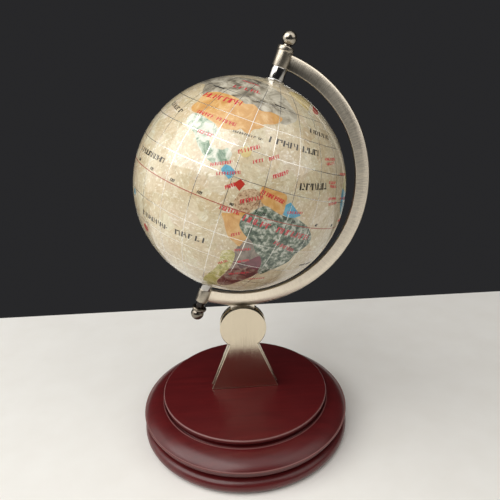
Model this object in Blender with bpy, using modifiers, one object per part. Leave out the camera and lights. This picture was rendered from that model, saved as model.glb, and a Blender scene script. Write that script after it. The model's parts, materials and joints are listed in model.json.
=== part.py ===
"""Desktop globe on a stand.

A hollow inlaid globe turns on a fixed steel rod. The rod runs between the two ends of a C-shaped
meridian arm, and the arm's hub tilts between two keyhole plates that stand on a turned wooden base.

Frame: metres, +Z up, origin at the bottom centre of the base. The arm lies in the XZ plane, with the
open side of the C towards -X, and the front of the stand faces -Y.
"""
import math

import bmesh
import bpy

MM = 0.001

# ---- driving dimensions, in millimetres
GAP = 0.3                        # between touching pieces

FELT_RADIUS = 76.0
FELT_THICKNESS = 1.0
BASE_UNDERSIDE = 1.3             # height of the wood above the table, inside the foot
BASE_TOP = 33.0
FOOT_RING_RADIUS = 79.0          # centre line of the half-round foot moulding
FOOT_ROLL = 5.2
FOOT_HEIGHT = 6.0
SHOULDER_RIM_RADIUS = 82.6
SHOULDER_RIM_HEIGHT = 20.0
SHOULDER_TOP_RADIUS = 67.9
SHOULDER_TOP_HEIGHT = 26.8
TOP_DISC_RADIUS = 67.0

HUB_HEIGHT = 88.0
PLATE_THICKNESS = 3.0
PLATE_SPACE = 4.4                # between the two keyhole plates
PLATE_DISC_RADIUS = 18.4
PLATE_WAIST_HALF = 11.75
PLATE_FOOT_HALF = 27.6
PLATE_EDGE = 0.6
SPACER_THICKNESS = 4.0
SPACER_INSET = 1.3
STOP_ANGLE = 31.0                # half angle of the recess that the stop tooth swings in
TOOTH_ANGLE = 5.0
PIN_RADIUS = 4.0

ARM_LEAN = 0.8                   # degrees, as the arm stands in its friction hub
ARM_THICKNESS = 4.0
ARM_INNER_RADIUS = 84.1
ARM_OUTER_RADIUS = 94.4
ARM_EDGE = 0.8
HUB_RADIUS = 15.5
WASHER_POCKET_RADIUS = 13.3
WASHER_POCKET_DEPTH = 0.4
NECK_HALF = 8.6
NECK_FILLET = 2.5
GLOBE_ABOVE_HUB = 113.5
AXIS_TILT = 19.5                 # degrees, between the rod and the arm's centre line

GLOBE_RADIUS = 75.0
INLAY_THICKNESS = 1.5
CORE_THICKNESS = 4.2
ROD_RADIUS = 2.9
STUD_RADIUS = 1.5
TOP_SLEEVE_RADIUS = 4.8
BOTTOM_SLEEVE_RADIUS = 4.2
TOP_COLLAR_RADIUS = 5.05
BOTTOM_COLLAR_RADIUS = 3.95
ROD_BORE = ROD_RADIUS + GAP
STUD_BORE = STUD_RADIUS + GAP
FINIAL_RING_RADIUS = 5.1
FINIAL_BALL_RADIUS = 5.05

# places along the rod, from the globe's centre
WASHER_START = 75.15
WASHER_END = 75.6
COLLAR_START = 75.9
SLEEVE_START = 84.3
SLEEVE_END = 94.3
LOCK_RING_START = 94.6
LOCK_RING_END = 97.3
TOP_BALL_CENTRE = 103.0
BOTTOM_SLEEVE_START = 84.9
BOTTOM_SLEEVE_END = 95.0
BOTTOM_FINIAL_START = 101.3
BOTTOM_BALL_CENTRE = 106.6

CLAMP_SCREW_X = 14.0
CLAMP_SCREW_Z = 42.0
BASE_SCREW_X = 7.0
BASE_SCREW_RADIUS = 1.25
COUNTERBORE_RADIUS = 5.2
COUNTERBORE_TOP = 15.4

SMALL_STEPS = 20
COLLAR_STEPS = 24
BASE_STEPS = 60
GLOBE_STEPS = 36
ARM_STEPS = 120

# ---- collections and materials


def clear_scene():
    for obj in list(bpy.data.objects):
        bpy.data.objects.remove(obj, do_unlink=True)


def make_collection(name):
    collection = bpy.data.collections.new(name)
    bpy.context.scene.collection.children.link(collection)
    return collection


clear_scene()
PARTS = make_collection("desktop_globe")
CUTTERS = make_collection("cutters")

FINISHES = {
    "cherry_wood": ((0.090, 0.012, 0.012), 0.35, 0.0),
    "green_felt": ((0.020, 0.060, 0.030), 0.95, 0.0),
    "brushed_nickel": ((0.60, 0.54, 0.44), 0.32, 1.0),
    "polished_chrome": ((0.75, 0.74, 0.72), 0.08, 1.0),
    "zinc_steel": ((0.50, 0.50, 0.52), 0.35, 1.0),
    "white_nylon": ((0.80, 0.80, 0.76), 0.50, 0.0),
    "fibre": ((0.12, 0.05, 0.03), 0.80, 0.0),
    "cast_resin": ((0.72, 0.68, 0.58), 0.60, 0.0),
    "pearl_inlay": ((0.70, 0.62, 0.45), 0.12, 0.0),
}


def make_material(node_name, finish):
    colour, roughness, metallic = FINISHES[finish]
    material = bpy.data.materials.new(node_name + "_" + finish)
    material.use_nodes = True
    shader = material.node_tree.nodes["Principled BSDF"]
    shader.inputs["Base Color"].default_value = (*colour, 1.0)
    shader.inputs["Roughness"].default_value = roughness
    shader.inputs["Metallic"].default_value = metallic
    return material


# ---- modelling helpers


def make_empty(name, location_mm, tilt_degrees, parent=None):
    """An empty whose local Z leans from world Z towards +X by the tilt."""
    empty = bpy.data.objects.new(name, None)
    PARTS.objects.link(empty)
    empty.location = [value * MM for value in location_mm]
    empty.rotation_euler = (0.0, math.radians(tilt_degrees), 0.0)
    empty.parent = parent
    return empty


def place(obj, location_mm=(0, 0, 0), rotation_degrees=(0, 0, 0), parent=None):
    obj.location = [value * MM for value in location_mm]
    obj.rotation_euler = [math.radians(value) for value in rotation_degrees]
    obj.parent = parent
    return obj


def make_node(name, mesh, finish):
    obj = bpy.data.objects.new(name, mesh)
    PARTS.objects.link(obj)
    mesh.materials.clear()
    mesh.materials.append(make_material(name, finish))
    return obj


def turned_mesh(name, profile, closed):
    """Edges of a turning profile in the XZ plane, given as (radius, height) in millimetres."""
    mesh = bpy.data.meshes.new(name)
    points = [(radius * MM, 0.0, height * MM) for radius, height in profile]
    edges = [(index, index + 1) for index in range(len(points) - 1)]
    if closed:
        edges.append((len(points) - 1, 0))
    mesh.from_pydata(points, edges, [])
    return mesh


def add_screw(obj, steps):
    screw = obj.modifiers.new("turn", "SCREW")
    screw.steps = steps
    screw.render_steps = steps
    screw.use_merge_vertices = True
    screw.merge_threshold = 0.00001
    screw.use_smooth_shade = True


def turned(name, profile, finish, closed=False, steps=SMALL_STEPS):
    """A turned piece. The profile runs down the outer side; a ring's profile is closed."""
    obj = make_node(name, turned_mesh(name, profile, closed), finish)
    add_screw(obj, steps)
    return obj


def ring_profile(outer, inner, low, high, edge=0.0):
    """Closed profile of a tube or washer with chamfered outer edges."""
    if edge == 0.0:
        return [(outer, high), (outer, low), (inner, low), (inner, high)]
    return [(outer - edge, high), (outer, high - edge), (outer, low + edge), (outer - edge, low),
            (inner, low), (inner, high)]


def outline_mesh(name, points, thickness):
    """A flat outline in the XY plane, thickened evenly to both sides of it."""
    curve = bpy.data.curves.new(name + "_outline", "CURVE")
    curve.dimensions = "2D"
    curve.fill_mode = "BOTH"
    curve.extrude = thickness * MM / 2
    spline = curve.splines.new("POLY")
    spline.points.add(len(points) - 1)
    for point, (x, y) in zip(spline.points, points):
        point.co = (x * MM, y * MM, 0.0, 1.0)
    spline.use_cyclic_u = True
    holder = bpy.data.objects.new(name + "_outline", curve)
    bpy.context.scene.collection.objects.link(holder)
    graph = bpy.context.evaluated_depsgraph_get()
    mesh = bpy.data.meshes.new_from_object(holder.evaluated_get(graph))
    bpy.data.objects.remove(holder, do_unlink=True)
    work = bmesh.new()
    work.from_mesh(mesh)
    bmesh.ops.remove_doubles(work, verts=work.verts, dist=0.000005)
    bmesh.ops.recalc_face_normals(work, faces=work.faces)
    work.to_mesh(mesh)
    work.free()
    mesh.name = name
    return mesh


def add_bevel(obj, width, segments=2, angle=40.0):
    bevel = obj.modifiers.new("edge", "BEVEL")
    bevel.width = width * MM
    bevel.segments = segments
    bevel.limit_method = "ANGLE"
    bevel.angle_limit = math.radians(angle)


def cylinder_mesh(name, radius, length, steps=SMALL_STEPS):
    """A cylinder that stands on the XY plane."""
    mesh = bpy.data.meshes.new(name)
    work = bmesh.new()
    bmesh.ops.create_cone(work, cap_ends=True, segments=steps, radius1=radius * MM,
                          radius2=radius * MM, depth=length * MM)
    bmesh.ops.translate(work, verts=work.verts, vec=(0, 0, length * MM / 2))
    work.to_mesh(mesh)
    work.free()
    return mesh


def box_mesh(name, low, high):
    """A box between two corners in millimetres."""
    mesh = bpy.data.meshes.new(name)
    work = bmesh.new()
    bmesh.ops.create_cube(work, size=1.0)
    size = [(b - a) * MM for a, b in zip(low, high)]
    centre = [(a + b) * MM / 2 for a, b in zip(low, high)]
    bmesh.ops.scale(work, verts=work.verts, vec=size)
    bmesh.ops.translate(work, verts=work.verts, vec=centre)
    work.to_mesh(mesh)
    work.free()
    return mesh


def cutter(name, mesh):
    obj = bpy.data.objects.new(name, mesh)
    CUTTERS.objects.link(obj)
    obj.hide_render = True
    obj.display_type = "WIRE"
    return obj


def combine(obj, tool, operation="DIFFERENCE"):
    boolean = obj.modifiers.new(tool.name, "BOOLEAN")
    boolean.operation = operation
    boolean.object = tool
    boolean.solver = "EXACT"


def arc(centre, radius, start, end, count):
    """Points on an arc, with angles in degrees from the first axis."""
    points = []
    for index in range(count + 1):
        angle = math.radians(start + (end - start) * index / count)
        points.append((centre[0] + radius * math.cos(angle), centre[1] + radius * math.sin(angle)))
    return points


def smooth(obj):
    obj.data.shade_smooth()
    obj.data.set_sharp_from_angle(angle=math.radians(35))


# ---- base


def base_profile():
    """Top disc, groove, quarter-round shoulder, fillet, groove and half-round foot."""
    disc_edge = arc((TOP_DISC_RADIUS - 1.0, BASE_TOP - 1.0), 1.0, 90, 0, 3)
    groove = [(TOP_DISC_RADIUS, 29.6), (65.4, 29.0), (65.4, 27.2)]
    shoulder = []
    count = 9
    for index in range(count + 1):
        angle = math.radians(90 - 90 * index / count)
        radius = SHOULDER_TOP_RADIUS + (SHOULDER_RIM_RADIUS - SHOULDER_TOP_RADIUS) * math.cos(angle)
        height = SHOULDER_RIM_HEIGHT + (SHOULDER_TOP_HEIGHT - SHOULDER_RIM_HEIGHT) * math.sin(angle)
        shoulder.append((radius, height))
    fillet = [(82.9, 19.2), (82.9, 15.6), (82.3, 14.4), (81.0, 13.8), (78.0, 13.4), (78.0, 11.8)]
    foot = arc((FOOT_RING_RADIUS, FOOT_HEIGHT), FOOT_ROLL, 85, -90, 9)
    underside = [(77.0, FOOT_HEIGHT - FOOT_ROLL), (FELT_RADIUS + 0.5, BASE_UNDERSIDE),
                 (0.0, BASE_UNDERSIDE)]
    return [(0.0, BASE_TOP)] + disc_edge + groove + shoulder + fillet + foot + underside


def make_base():
    base = turned("base_plinth", base_profile(), "cherry_wood", steps=BASE_STEPS)
    for side in (-1, 1):
        bore = cutter("screw_bore", cylinder_mesh("screw_bore", BASE_SCREW_RADIUS + GAP, 40.0, 16))
        place(bore, (side * BASE_SCREW_X, 0, 0))
        combine(base, bore)
        well = cutter("screw_well", cylinder_mesh("screw_well", COUNTERBORE_RADIUS, COUNTERBORE_TOP))
        place(well, (side * BASE_SCREW_X, 0, 0))
        combine(base, well)


def make_felt():
    turned("felt_pad", [(0, FELT_THICKNESS), (FELT_RADIUS, FELT_THICKNESS), (FELT_RADIUS, 0), (0, 0)],
           "green_felt", steps=BASE_STEPS)


def screw_profile(shank_radius, tip, head_radius, seat, head_top):
    """A pan-head screw along +Z: tip below, head above."""
    crown = head_top - 0.35 * (head_top - seat)
    return [(0, head_top), (0.6 * head_radius, head_top), (head_radius, crown), (head_radius, seat),
            (shank_radius, seat), (shank_radius, tip + 0.6), (shank_radius - 0.6, tip), (0, tip)]


def add_hex_socket(obj, width, depth, head_top):
    """A hexagonal key socket in the top of a screw's head, cut with a tool that moves with it."""
    socket = cutter(obj.name + "_socket", cylinder_mesh("hex_key", width, depth + 1.0, 6))
    place(socket, (0, 0, head_top - depth), parent=obj)
    combine(obj, socket)


def make_base_fixings():
    """Two screws and washers that pull the pedestal down on to the base from below."""
    washer_low = COUNTERBORE_TOP - GAP - 0.8
    seat = -(washer_low - GAP)
    for side, label in ((-1, "left"), (1, "right")):
        washer = turned("base_washer_" + label,
                        ring_profile(4.6, BASE_SCREW_RADIUS + GAP, washer_low, washer_low + 0.8),
                        "zinc_steel", closed=True)
        place(washer, (side * BASE_SCREW_X, 0, 0))
        profile = screw_profile(BASE_SCREW_RADIUS, -45.0, 2.6, seat, seat + 2.4)
        screw = turned("base_screw_" + label, profile, "zinc_steel", steps=16)
        place(screw, (side * BASE_SCREW_X, 0, 0), (180, 0, 0))
        add_hex_socket(screw, 1.3, 1.2, seat + 2.4)


# ---- pedestal


def plate_waist_height():
    """Height above the hub, negative, at which the plate's disc meets its sloping sides."""
    return -math.sqrt(PLATE_DISC_RADIUS ** 2 - PLATE_WAIST_HALF ** 2)


def plate_outline():
    """Keyhole outline about the hub's centre: a disc that stands on a flared foot."""
    foot = BASE_TOP + GAP - HUB_HEIGHT
    waist = math.degrees(math.atan2(plate_waist_height(), PLATE_WAIST_HALF))
    disc = arc((0, 0), PLATE_DISC_RADIUS, waist, 180 - waist, 36)
    return [(-PLATE_FOOT_HALF, foot), (PLATE_FOOT_HALF, foot)] + disc


def spacer_outline():
    """The block between the plates, hollowed above for the arm's hub and its stop tooth."""
    foot = BASE_TOP + GAP - HUB_HEIGHT
    seat = HUB_RADIUS + 0.7
    recess = HUB_RADIUS + 3.7
    shoulder_half = PLATE_WAIST_HALF - SPACER_INSET
    seat_angle = math.degrees(math.asin(shoulder_half / seat))
    right_seat = arc((0, 0), seat, -90 + seat_angle, -90 + STOP_ANGLE, 3)
    hollow = arc((0, 0), recess, -90 + STOP_ANGLE, -90 - STOP_ANGLE, 16)
    left_seat = arc((0, 0), seat, -90 - STOP_ANGLE, -90 - seat_angle, 3)
    waist = plate_waist_height()
    return ([(-PLATE_FOOT_HALF + SPACER_INSET, foot), (PLATE_FOOT_HALF - SPACER_INSET, foot),
             (shoulder_half, waist)] + right_seat + hollow + left_seat + [(-shoulder_half, waist)])


def make_standing_plate(name, outline, thickness, depth, finish):
    """A plate that stands in the XZ plane with its middle at the given depth along Y."""
    plate = make_node(name, outline_mesh(name, outline, thickness), finish)
    return place(plate, (0, depth, HUB_HEIGHT), (90, 0, 0))


def drill_y(obj, name, x, z, radius, start, end, steps=SMALL_STEPS):
    """Drills a hole along +Y between two depths."""
    drill = cutter(name, cylinder_mesh(name, radius, end - start, steps))
    place(drill, (x, start, z), (-90, 0, 0))
    combine(obj, drill)


def make_pedestal_plates():
    middle = (PLATE_SPACE + PLATE_THICKNESS) / 2
    inner = PLATE_SPACE / 2
    front = make_standing_plate("front_plate", plate_outline(), PLATE_THICKNESS, -middle, "brushed_nickel")
    rear = make_standing_plate("rear_plate", plate_outline(), PLATE_THICKNESS, middle, "brushed_nickel")
    for plate in (front, rear):
        add_bevel(plate, PLATE_EDGE)
        smooth(plate)
    drill_y(front, "pin_pocket", 0, HUB_HEIGHT, PIN_RADIUS + GAP, -inner - 2.0, 0)
    drill_y(rear, "pivot_screw_hole", 0, HUB_HEIGHT, 1.8, 0, 8)
    for side in (-1, 1):
        x = side * CLAMP_SCREW_X
        drill_y(front, "blind_hole", x, CLAMP_SCREW_Z, 1.8, -inner - 2.0, 0, 16)
        drill_y(rear, "clamp_hole", x, CLAMP_SCREW_Z, 1.8, 0, 8, 16)


def make_spacer():
    spacer = make_standing_plate("spacer_block", spacer_outline(), SPACER_THICKNESS, 0, "zinc_steel")
    for side in (-1, 1):
        drill_y(spacer, "clamp_hole", side * CLAMP_SCREW_X, CLAMP_SCREW_Z, 1.8, -5, 5, 16)
        tap = cutter("base_screw_tap", cylinder_mesh("base_screw_tap", BASE_SCREW_RADIUS + 0.2, 16.0, 16))
        place(tap, (side * BASE_SCREW_X, 0, BASE_TOP - 2.0))
        combine(spacer, tap)


def make_rear_screw(name, x, z, head_radius, tip):
    """A button-head screw that enters from behind the rear plate."""
    seat = PLATE_SPACE / 2 + PLATE_THICKNESS + GAP
    head_top = seat + 2.2
    screw = turned(name, screw_profile(STUD_RADIUS, tip, head_radius, seat, head_top), "zinc_steel",
                   steps=20)
    place(screw, (x, 0, z), (-90, 0, 0))
    add_hex_socket(screw, 1.4, 1.3, head_top)


def make_pedestal_fixings():
    for side, label in ((-1, "left"), (1, "right")):
        make_rear_screw("clamp_screw_" + label, side * CLAMP_SCREW_X, CLAMP_SCREW_Z, 3.0, -3.9)
    make_rear_screw("pivot_screw", 0, HUB_HEIGHT, 3.8, -1.4)


def make_pivot():
    """The hub's pin, with a tapped end towards the rear plate, and its two friction washers."""
    front_end = -(PLATE_SPACE / 2 + 1.7)
    rear_end = PLATE_SPACE / 2 - 0.2
    profile = [(0, -1.8), (STUD_BORE, -1.8), (STUD_BORE, rear_end), (PIN_RADIUS, rear_end),
               (PIN_RADIUS, front_end), (0, front_end)]
    pin = turned("pivot_pin", profile, "zinc_steel")
    place(pin, (0, 0, HUB_HEIGHT), (-90, 0, 0))
    middle = (ARM_THICKNESS / 2 - WASHER_POCKET_DEPTH + PLATE_SPACE / 2) / 2
    for side, label in ((-1, "front"), (1, "rear")):
        washer = turned(label + "_friction_washer", ring_profile(13.0, PIN_RADIUS + 0.2, -0.15, 0.15),
                        "fibre", closed=True, steps=COLLAR_STEPS)
        place(washer, (0, side * middle, HUB_HEIGHT), (-90, 0, 0))


# ---- arm


def hub_outline():
    """Hub disc with its stop tooth below and the neck that joins the arm above."""
    neck_root = math.degrees(math.asin(NECK_HALF / HUB_RADIUS))
    tooth_tip = HUB_RADIUS + 3.1
    left = arc((0, 0), HUB_RADIUS, 90 + neck_root, 270 - TOOTH_ANGLE, 16)
    tooth = arc((0, 0), tooth_tip, 270 - TOOTH_ANGLE, 270 + TOOTH_ANGLE, 2)
    right = arc((0, 0), HUB_RADIUS, 270 + TOOTH_ANGLE, 450 - neck_root, 16)
    reach = NECK_HALF + NECK_FILLET
    arm_edge = GLOBE_ABOVE_HUB - math.sqrt(ARM_OUTER_RADIUS ** 2 - reach ** 2)
    right_fillet = arc((reach, arm_edge - NECK_FILLET), NECK_FILLET, 180, 90, 5)
    left_fillet = arc((-reach, arm_edge - NECK_FILLET), NECK_FILLET, 90, 0, 5)
    inside = arm_edge + 3.0
    return left + tooth + right + right_fillet + [(reach, inside), (-reach, inside)] + left_fillet


def arm_ring_profile():
    half = ARM_THICKNESS / 2
    outer, inner, edge = ARM_OUTER_RADIUS, ARM_INNER_RADIUS, ARM_EDGE
    return [(outer - edge, half), (outer, half - edge), (outer, edge - half), (outer - edge, -half),
            (inner + edge, -half), (inner, edge - half), (inner, half - edge), (inner + edge, half)]


def make_arm(pivot, axis):
    """The C is a full ring, cut open on its left side along the rod and joined to the hub below."""
    arm = turned("meridian_arm", arm_ring_profile(), "brushed_nickel", closed=True, steps=ARM_STEPS)
    place(arm, (0, 0, GLOBE_ABOVE_HUB), (90, 0, 0), pivot)
    hub = cutter("arm_hub", outline_mesh("arm_hub", hub_outline(), ARM_THICKNESS - 0.06))
    add_bevel(hub, 0.4, 1)
    place(hub, (0, 0, 0), (90, 0, 0), pivot)
    combine(arm, hub, "UNION")
    reach = ARM_OUTER_RADIUS + 10
    open_side = cutter("open_side", box_mesh("open_side", (-reach, -10, -reach), (0, 10, reach)))
    place(open_side, parent=axis)
    combine(arm, open_side)
    for name, radius, start, end in (("top_cope", TOP_SLEEVE_RADIUS, 78, 100),
                                     ("bottom_cope", BOTTOM_SLEEVE_RADIUS, -100, -78)):
        cope = cutter(name, cylinder_mesh(name, radius + GAP, end - start, COLLAR_STEPS))
        place(cope, (0, 0, start), parent=axis)
        combine(arm, cope)
    bore = cutter("hub_bore", cylinder_mesh("hub_bore", PIN_RADIUS + 0.15, 20))
    place(bore, (0, -10, 0), (-90, 0, 0), pivot)
    combine(arm, bore)
    floor = ARM_THICKNESS / 2 - WASHER_POCKET_DEPTH
    for name, start in (("front_washer_pocket", -floor - 4), ("rear_washer_pocket", floor)):
        pocket = cutter(name, cylinder_mesh(name, WASHER_POCKET_RADIUS, 4, COLLAR_STEPS))
        place(pocket, (0, start, 0), (-90, 0, 0), pivot)
        combine(arm, pocket)


def make_sleeves(axis):
    """Sleeves brazed to the arm's two ends, which hold the rod."""
    profile = ring_profile(TOP_SLEEVE_RADIUS, ROD_BORE, SLEEVE_START, SLEEVE_END, 0.4)
    top = turned("top_sleeve", profile, "brushed_nickel", closed=True, steps=COLLAR_STEPS)
    place(top, parent=axis)
    profile = ring_profile(BOTTOM_SLEEVE_RADIUS, ROD_BORE, -BOTTOM_SLEEVE_END, -BOTTOM_SLEEVE_START, 0.4)
    bottom = turned("bottom_sleeve", profile, "brushed_nickel", closed=True, steps=COLLAR_STEPS)
    place(bottom, parent=axis)


def make_rod(axis):
    """The fixed rod, stepped down to a stud at each end for the finials."""
    top_shoulder = SLEEVE_END
    bottom_shoulder = -(BOTTOM_FINIAL_START - GAP)
    rod = turned("axle_rod", [(0, 101.0), (STUD_RADIUS, 101.0), (STUD_RADIUS, top_shoulder),
                              (ROD_RADIUS, top_shoulder), (ROD_RADIUS, bottom_shoulder),
                              (STUD_RADIUS, bottom_shoulder), (STUD_RADIUS, -105.0), (0, -105.0)],
                 "zinc_steel")
    place(rod, parent=axis)


def make_collars(axis):
    """Spacing collars between sleeves and globe, and thin washers against the globe's poles."""
    profile = ring_profile(TOP_COLLAR_RADIUS, ROD_BORE, COLLAR_START, SLEEVE_START - GAP, 0.6)
    top = turned("top_collar", profile, "polished_chrome", closed=True, steps=COLLAR_STEPS)
    place(top, parent=axis)
    profile = ring_profile(BOTTOM_COLLAR_RADIUS, ROD_BORE, GAP - BOTTOM_SLEEVE_START, -COLLAR_START, 0.3)
    bottom = turned("bottom_collar", profile, "polished_chrome", closed=True, steps=COLLAR_STEPS)
    place(bottom, parent=axis)
    north = turned("north_pole_washer", ring_profile(6.2, ROD_BORE, WASHER_START, WASHER_END),
                   "polished_chrome", closed=True)
    place(north, parent=axis)
    south = turned("south_pole_washer", ring_profile(5.0, ROD_BORE, -WASHER_END, -WASHER_START),
                   "polished_chrome", closed=True)
    place(south, parent=axis)


def make_lock_ring(axis):
    ring = turned("top_lock_ring",
                  ring_profile(FINIAL_RING_RADIUS, STUD_BORE, LOCK_RING_START, LOCK_RING_END, 0.5),
                  "brushed_nickel", closed=True, steps=COLLAR_STEPS)
    place(ring, parent=axis)


def make_top_finial(axis):
    """A ball on a short neck, with a blind bore for the rod's stud."""
    neck_radius = 2.5
    start = LOCK_RING_END + GAP
    meet = math.degrees(math.acos(neck_radius / FINIAL_BALL_RADIUS))
    ball = arc((0, TOP_BALL_CENTRE), FINIAL_BALL_RADIUS, 90, -meet, 10)
    ball[0] = (0.0, ball[0][1])
    profile = ball + [(neck_radius, start), (STUD_BORE, start), (STUD_BORE, 101.5), (0, 101.5)]
    place(turned("top_finial", profile, "brushed_nickel", steps=COLLAR_STEPS), parent=axis)


def make_bottom_finial(axis):
    """A ball under a thin flange, with a blind bore for the rod's stud."""
    start = -BOTTOM_FINIAL_START
    flange_end = start - 1.6
    meet = math.degrees(math.asin((flange_end + BOTTOM_BALL_CENTRE) / FINIAL_BALL_RADIUS))
    ball = arc((0, -BOTTOM_BALL_CENTRE), FINIAL_BALL_RADIUS, meet, -90, 9)
    ball[-1] = (0.0, ball[-1][1])
    radius = FINIAL_RING_RADIUS
    flange = [(radius - 0.3, start), (radius, start - 0.3), (radius, flange_end + 0.3),
              (radius - 0.4, flange_end)]
    profile = [(0, -105.5), (STUD_BORE, -105.5), (STUD_BORE, start)] + flange + ball
    place(turned("bottom_finial", profile, "brushed_nickel", steps=COLLAR_STEPS), parent=axis)


# ---- globe


def half_shell_profile(outer, inner, hole, half_gap, steps):
    """Closed profile of the northern half of a hollow ball with a hole at the pole."""
    profile = []
    for radius, turn in ((outer, 1), (inner, -1)):
        first = math.asin(hole / radius)
        last = math.pi / 2 - math.asin(half_gap / radius)
        side = []
        for index in range(steps + 1):
            polar = first + (last - first) * index / steps
            side.append((radius * math.sin(polar), radius * math.cos(polar)))
        profile += side[::turn]
    return profile


def make_half_shells(names, axis, outer, inner, hole, finish, steps, bands):
    """The northern half, and the southern half turned over from the same profile."""
    profile = half_shell_profile(outer, inner, hole, GAP / 2, bands)
    for name, turn in zip(names, (0, 180)):
        half = turned(name, profile, finish, closed=True, steps=steps)
        place(half, (0, 0, 0), (turn, 0, 0), axis)


def make_globe(axis):
    inlay_inner = GLOBE_RADIUS - INLAY_THICKNESS
    core_outer = inlay_inner - GAP
    core_inner = core_outer - CORE_THICKNESS
    make_half_shells(("inlay_shell_north", "inlay_shell_south"), axis, GLOBE_RADIUS, inlay_inner,
                     ROD_RADIUS + 0.5, "pearl_inlay", GLOBE_STEPS, 9)
    make_half_shells(("globe_core_north", "globe_core_south"), axis, core_outer, core_inner, 6.0,
                     "cast_resin", GLOBE_STEPS, 7)
    joiner = turned("core_joiner_ring", ring_profile(core_inner - 0.6, core_inner - 2.6, -5.0, 5.0),
                    "cast_resin", closed=True, steps=GLOBE_STEPS)
    place(joiner, parent=axis)
    for name, turn in (("north_bush", 0), ("south_bush", 180)):
        bush = turned(name, bush_profile(core_inner, inlay_inner), "white_nylon", closed=True)
        place(bush, (0, 0, 0), (turn, 0, 0), axis)


def bush_profile(core_inner, inlay_inner):
    """Flanged bearing bush, pushed into the core's pole from inside."""
    barrel = 6.0 - GAP
    flange = 8.5
    outer_end = math.sqrt(inlay_inner ** 2 - barrel ** 2) - GAP
    flange_top = math.sqrt(core_inner ** 2 - flange ** 2) - GAP
    flange_bottom = flange_top - 2.0
    bore = ROD_RADIUS + 0.15
    return [(barrel, outer_end), (barrel, flange_top), (flange, flange_top), (flange, flange_bottom),
            (bore, flange_bottom), (bore, outer_end)]


def build():
    make_felt()
    make_base()
    make_base_fixings()
    make_pedestal_plates()
    make_spacer()
    make_pedestal_fixings()
    make_pivot()
    pivot = make_empty("arm_pivot", (0, 0, HUB_HEIGHT), ARM_LEAN)
    axis = make_empty("globe_axis", (0, 0, GLOBE_ABOVE_HUB), AXIS_TILT, pivot)
    make_arm(pivot, axis)
    make_sleeves(axis)
    make_rod(axis)
    make_collars(axis)
    make_lock_ring(axis)
    make_top_finial(axis)
    make_bottom_finial(axis)
    make_globe(axis)
    bpy.context.view_layer.update()


build()
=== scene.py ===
"""Looks of the desktop globe: shell and stone globe, brushed nickel arm and stand, cherry base."""
import json
import math
import random

import bmesh
import bpy
from mathutils import Matrix, Vector
from mathutils.geometry import delaunay_2d_cdt


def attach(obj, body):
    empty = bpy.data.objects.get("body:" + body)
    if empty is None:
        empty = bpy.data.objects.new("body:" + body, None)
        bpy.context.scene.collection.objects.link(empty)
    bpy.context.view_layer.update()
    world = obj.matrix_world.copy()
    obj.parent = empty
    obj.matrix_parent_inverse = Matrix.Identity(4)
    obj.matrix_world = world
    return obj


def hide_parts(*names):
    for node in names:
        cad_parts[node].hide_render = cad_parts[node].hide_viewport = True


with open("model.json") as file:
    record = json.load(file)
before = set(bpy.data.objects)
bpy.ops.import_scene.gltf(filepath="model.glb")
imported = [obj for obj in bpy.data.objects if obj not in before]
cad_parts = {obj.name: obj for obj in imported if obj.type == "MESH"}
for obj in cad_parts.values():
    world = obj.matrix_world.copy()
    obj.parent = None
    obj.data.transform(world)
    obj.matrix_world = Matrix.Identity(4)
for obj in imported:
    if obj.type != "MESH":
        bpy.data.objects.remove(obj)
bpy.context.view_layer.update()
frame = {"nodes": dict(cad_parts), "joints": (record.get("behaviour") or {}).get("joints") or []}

MM = 0.001
JOINTS = {joint["name"]: joint for joint in frame["joints"]}

# ---- driving dimensions, in millimetres
GLOBE_RADIUS = 75.0
INLAY_THICKNESS = 1.5
POLE_HOLE = 3.4
STONE_PROUD = 0.010              # stones, wires and marks stand this much above the shell sea
STONE_STEP = 0.008               # neighbouring stones differ in height by at least this much
PARALLEL_PROUD = 0.050
MERIDIAN_PROUD = 0.056
EQUATOR_PROUD = 0.062
MARK_PROUD = 0.080               # rows of ticks, the highest things on the globe
WIRE_CROWN = 0.026               # a wire's edges lie this much below its middle
WIRE_WIDTH = 0.37
EQUATOR_WIDTH = 0.46
GRID_STEP = 15.0                 # degrees of longitude between meridians
PARALLEL_STEP = 13.25            # degrees along the globe between parallels
MAP_SQUEEZE = PARALLEL_STEP / GRID_STEP
MERIDIANS = 24
WIRE_END = 86.0                  # latitude where the meridian wires end
FACING_LONGITUDE = -79.3         # the meridian that faces the front of the stand at rest

ARM_THICKNESS = 4.0
ARM_INNER_RADIUS = 84.1
ARM_OUTER_RADIUS = 94.38
ARM_ROLL_START = 88.5            # from here the arm's face rolls over towards its outer rim
ARM_END = 4.4                    # flat end of the arm, from the rod's axis
AXIS_TILT = 19.5
GLOBE_ABOVE_HUB = 113.5
NECK_HALF = 8.6
HUB_RADIUS = 15.5
PIN_RADIUS = 4.0
SLEEVE_MIDDLE = 89.0             # along the rod, from the globe's centre
BALL_RADIUS = 5.05

PLATE_THICKNESS = 3.0
PLATE_SPACE = 4.4
PLATE_DISC_RADIUS = 18.4
PLATE_WAIST_HALF = 11.75
PLATE_FOOT_HALF = 27.6
BASE_TOP = 33.0
HUB_HEIGHT = 88.0

CORNER_ARC = 1.0                 # radius of the arc at every rounded corner of a profile
SHARP_ANGLE = math.radians(38)   # flatter edges are shaded smooth
ARRIS_ANGLE = math.radians(55)   # steeper edges are rolled over

# ---- frames of the three bodies


def frame_at(origin, up):
    """A frame at the origin with local Z along up and local Y along world Y."""
    z_axis = Vector(up).normalized()
    y_axis = Vector((0.0, 1.0, 0.0))
    matrix = Matrix((y_axis.cross(z_axis), y_axis, z_axis)).transposed().to_4x4()
    matrix.translation = origin
    return matrix


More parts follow.
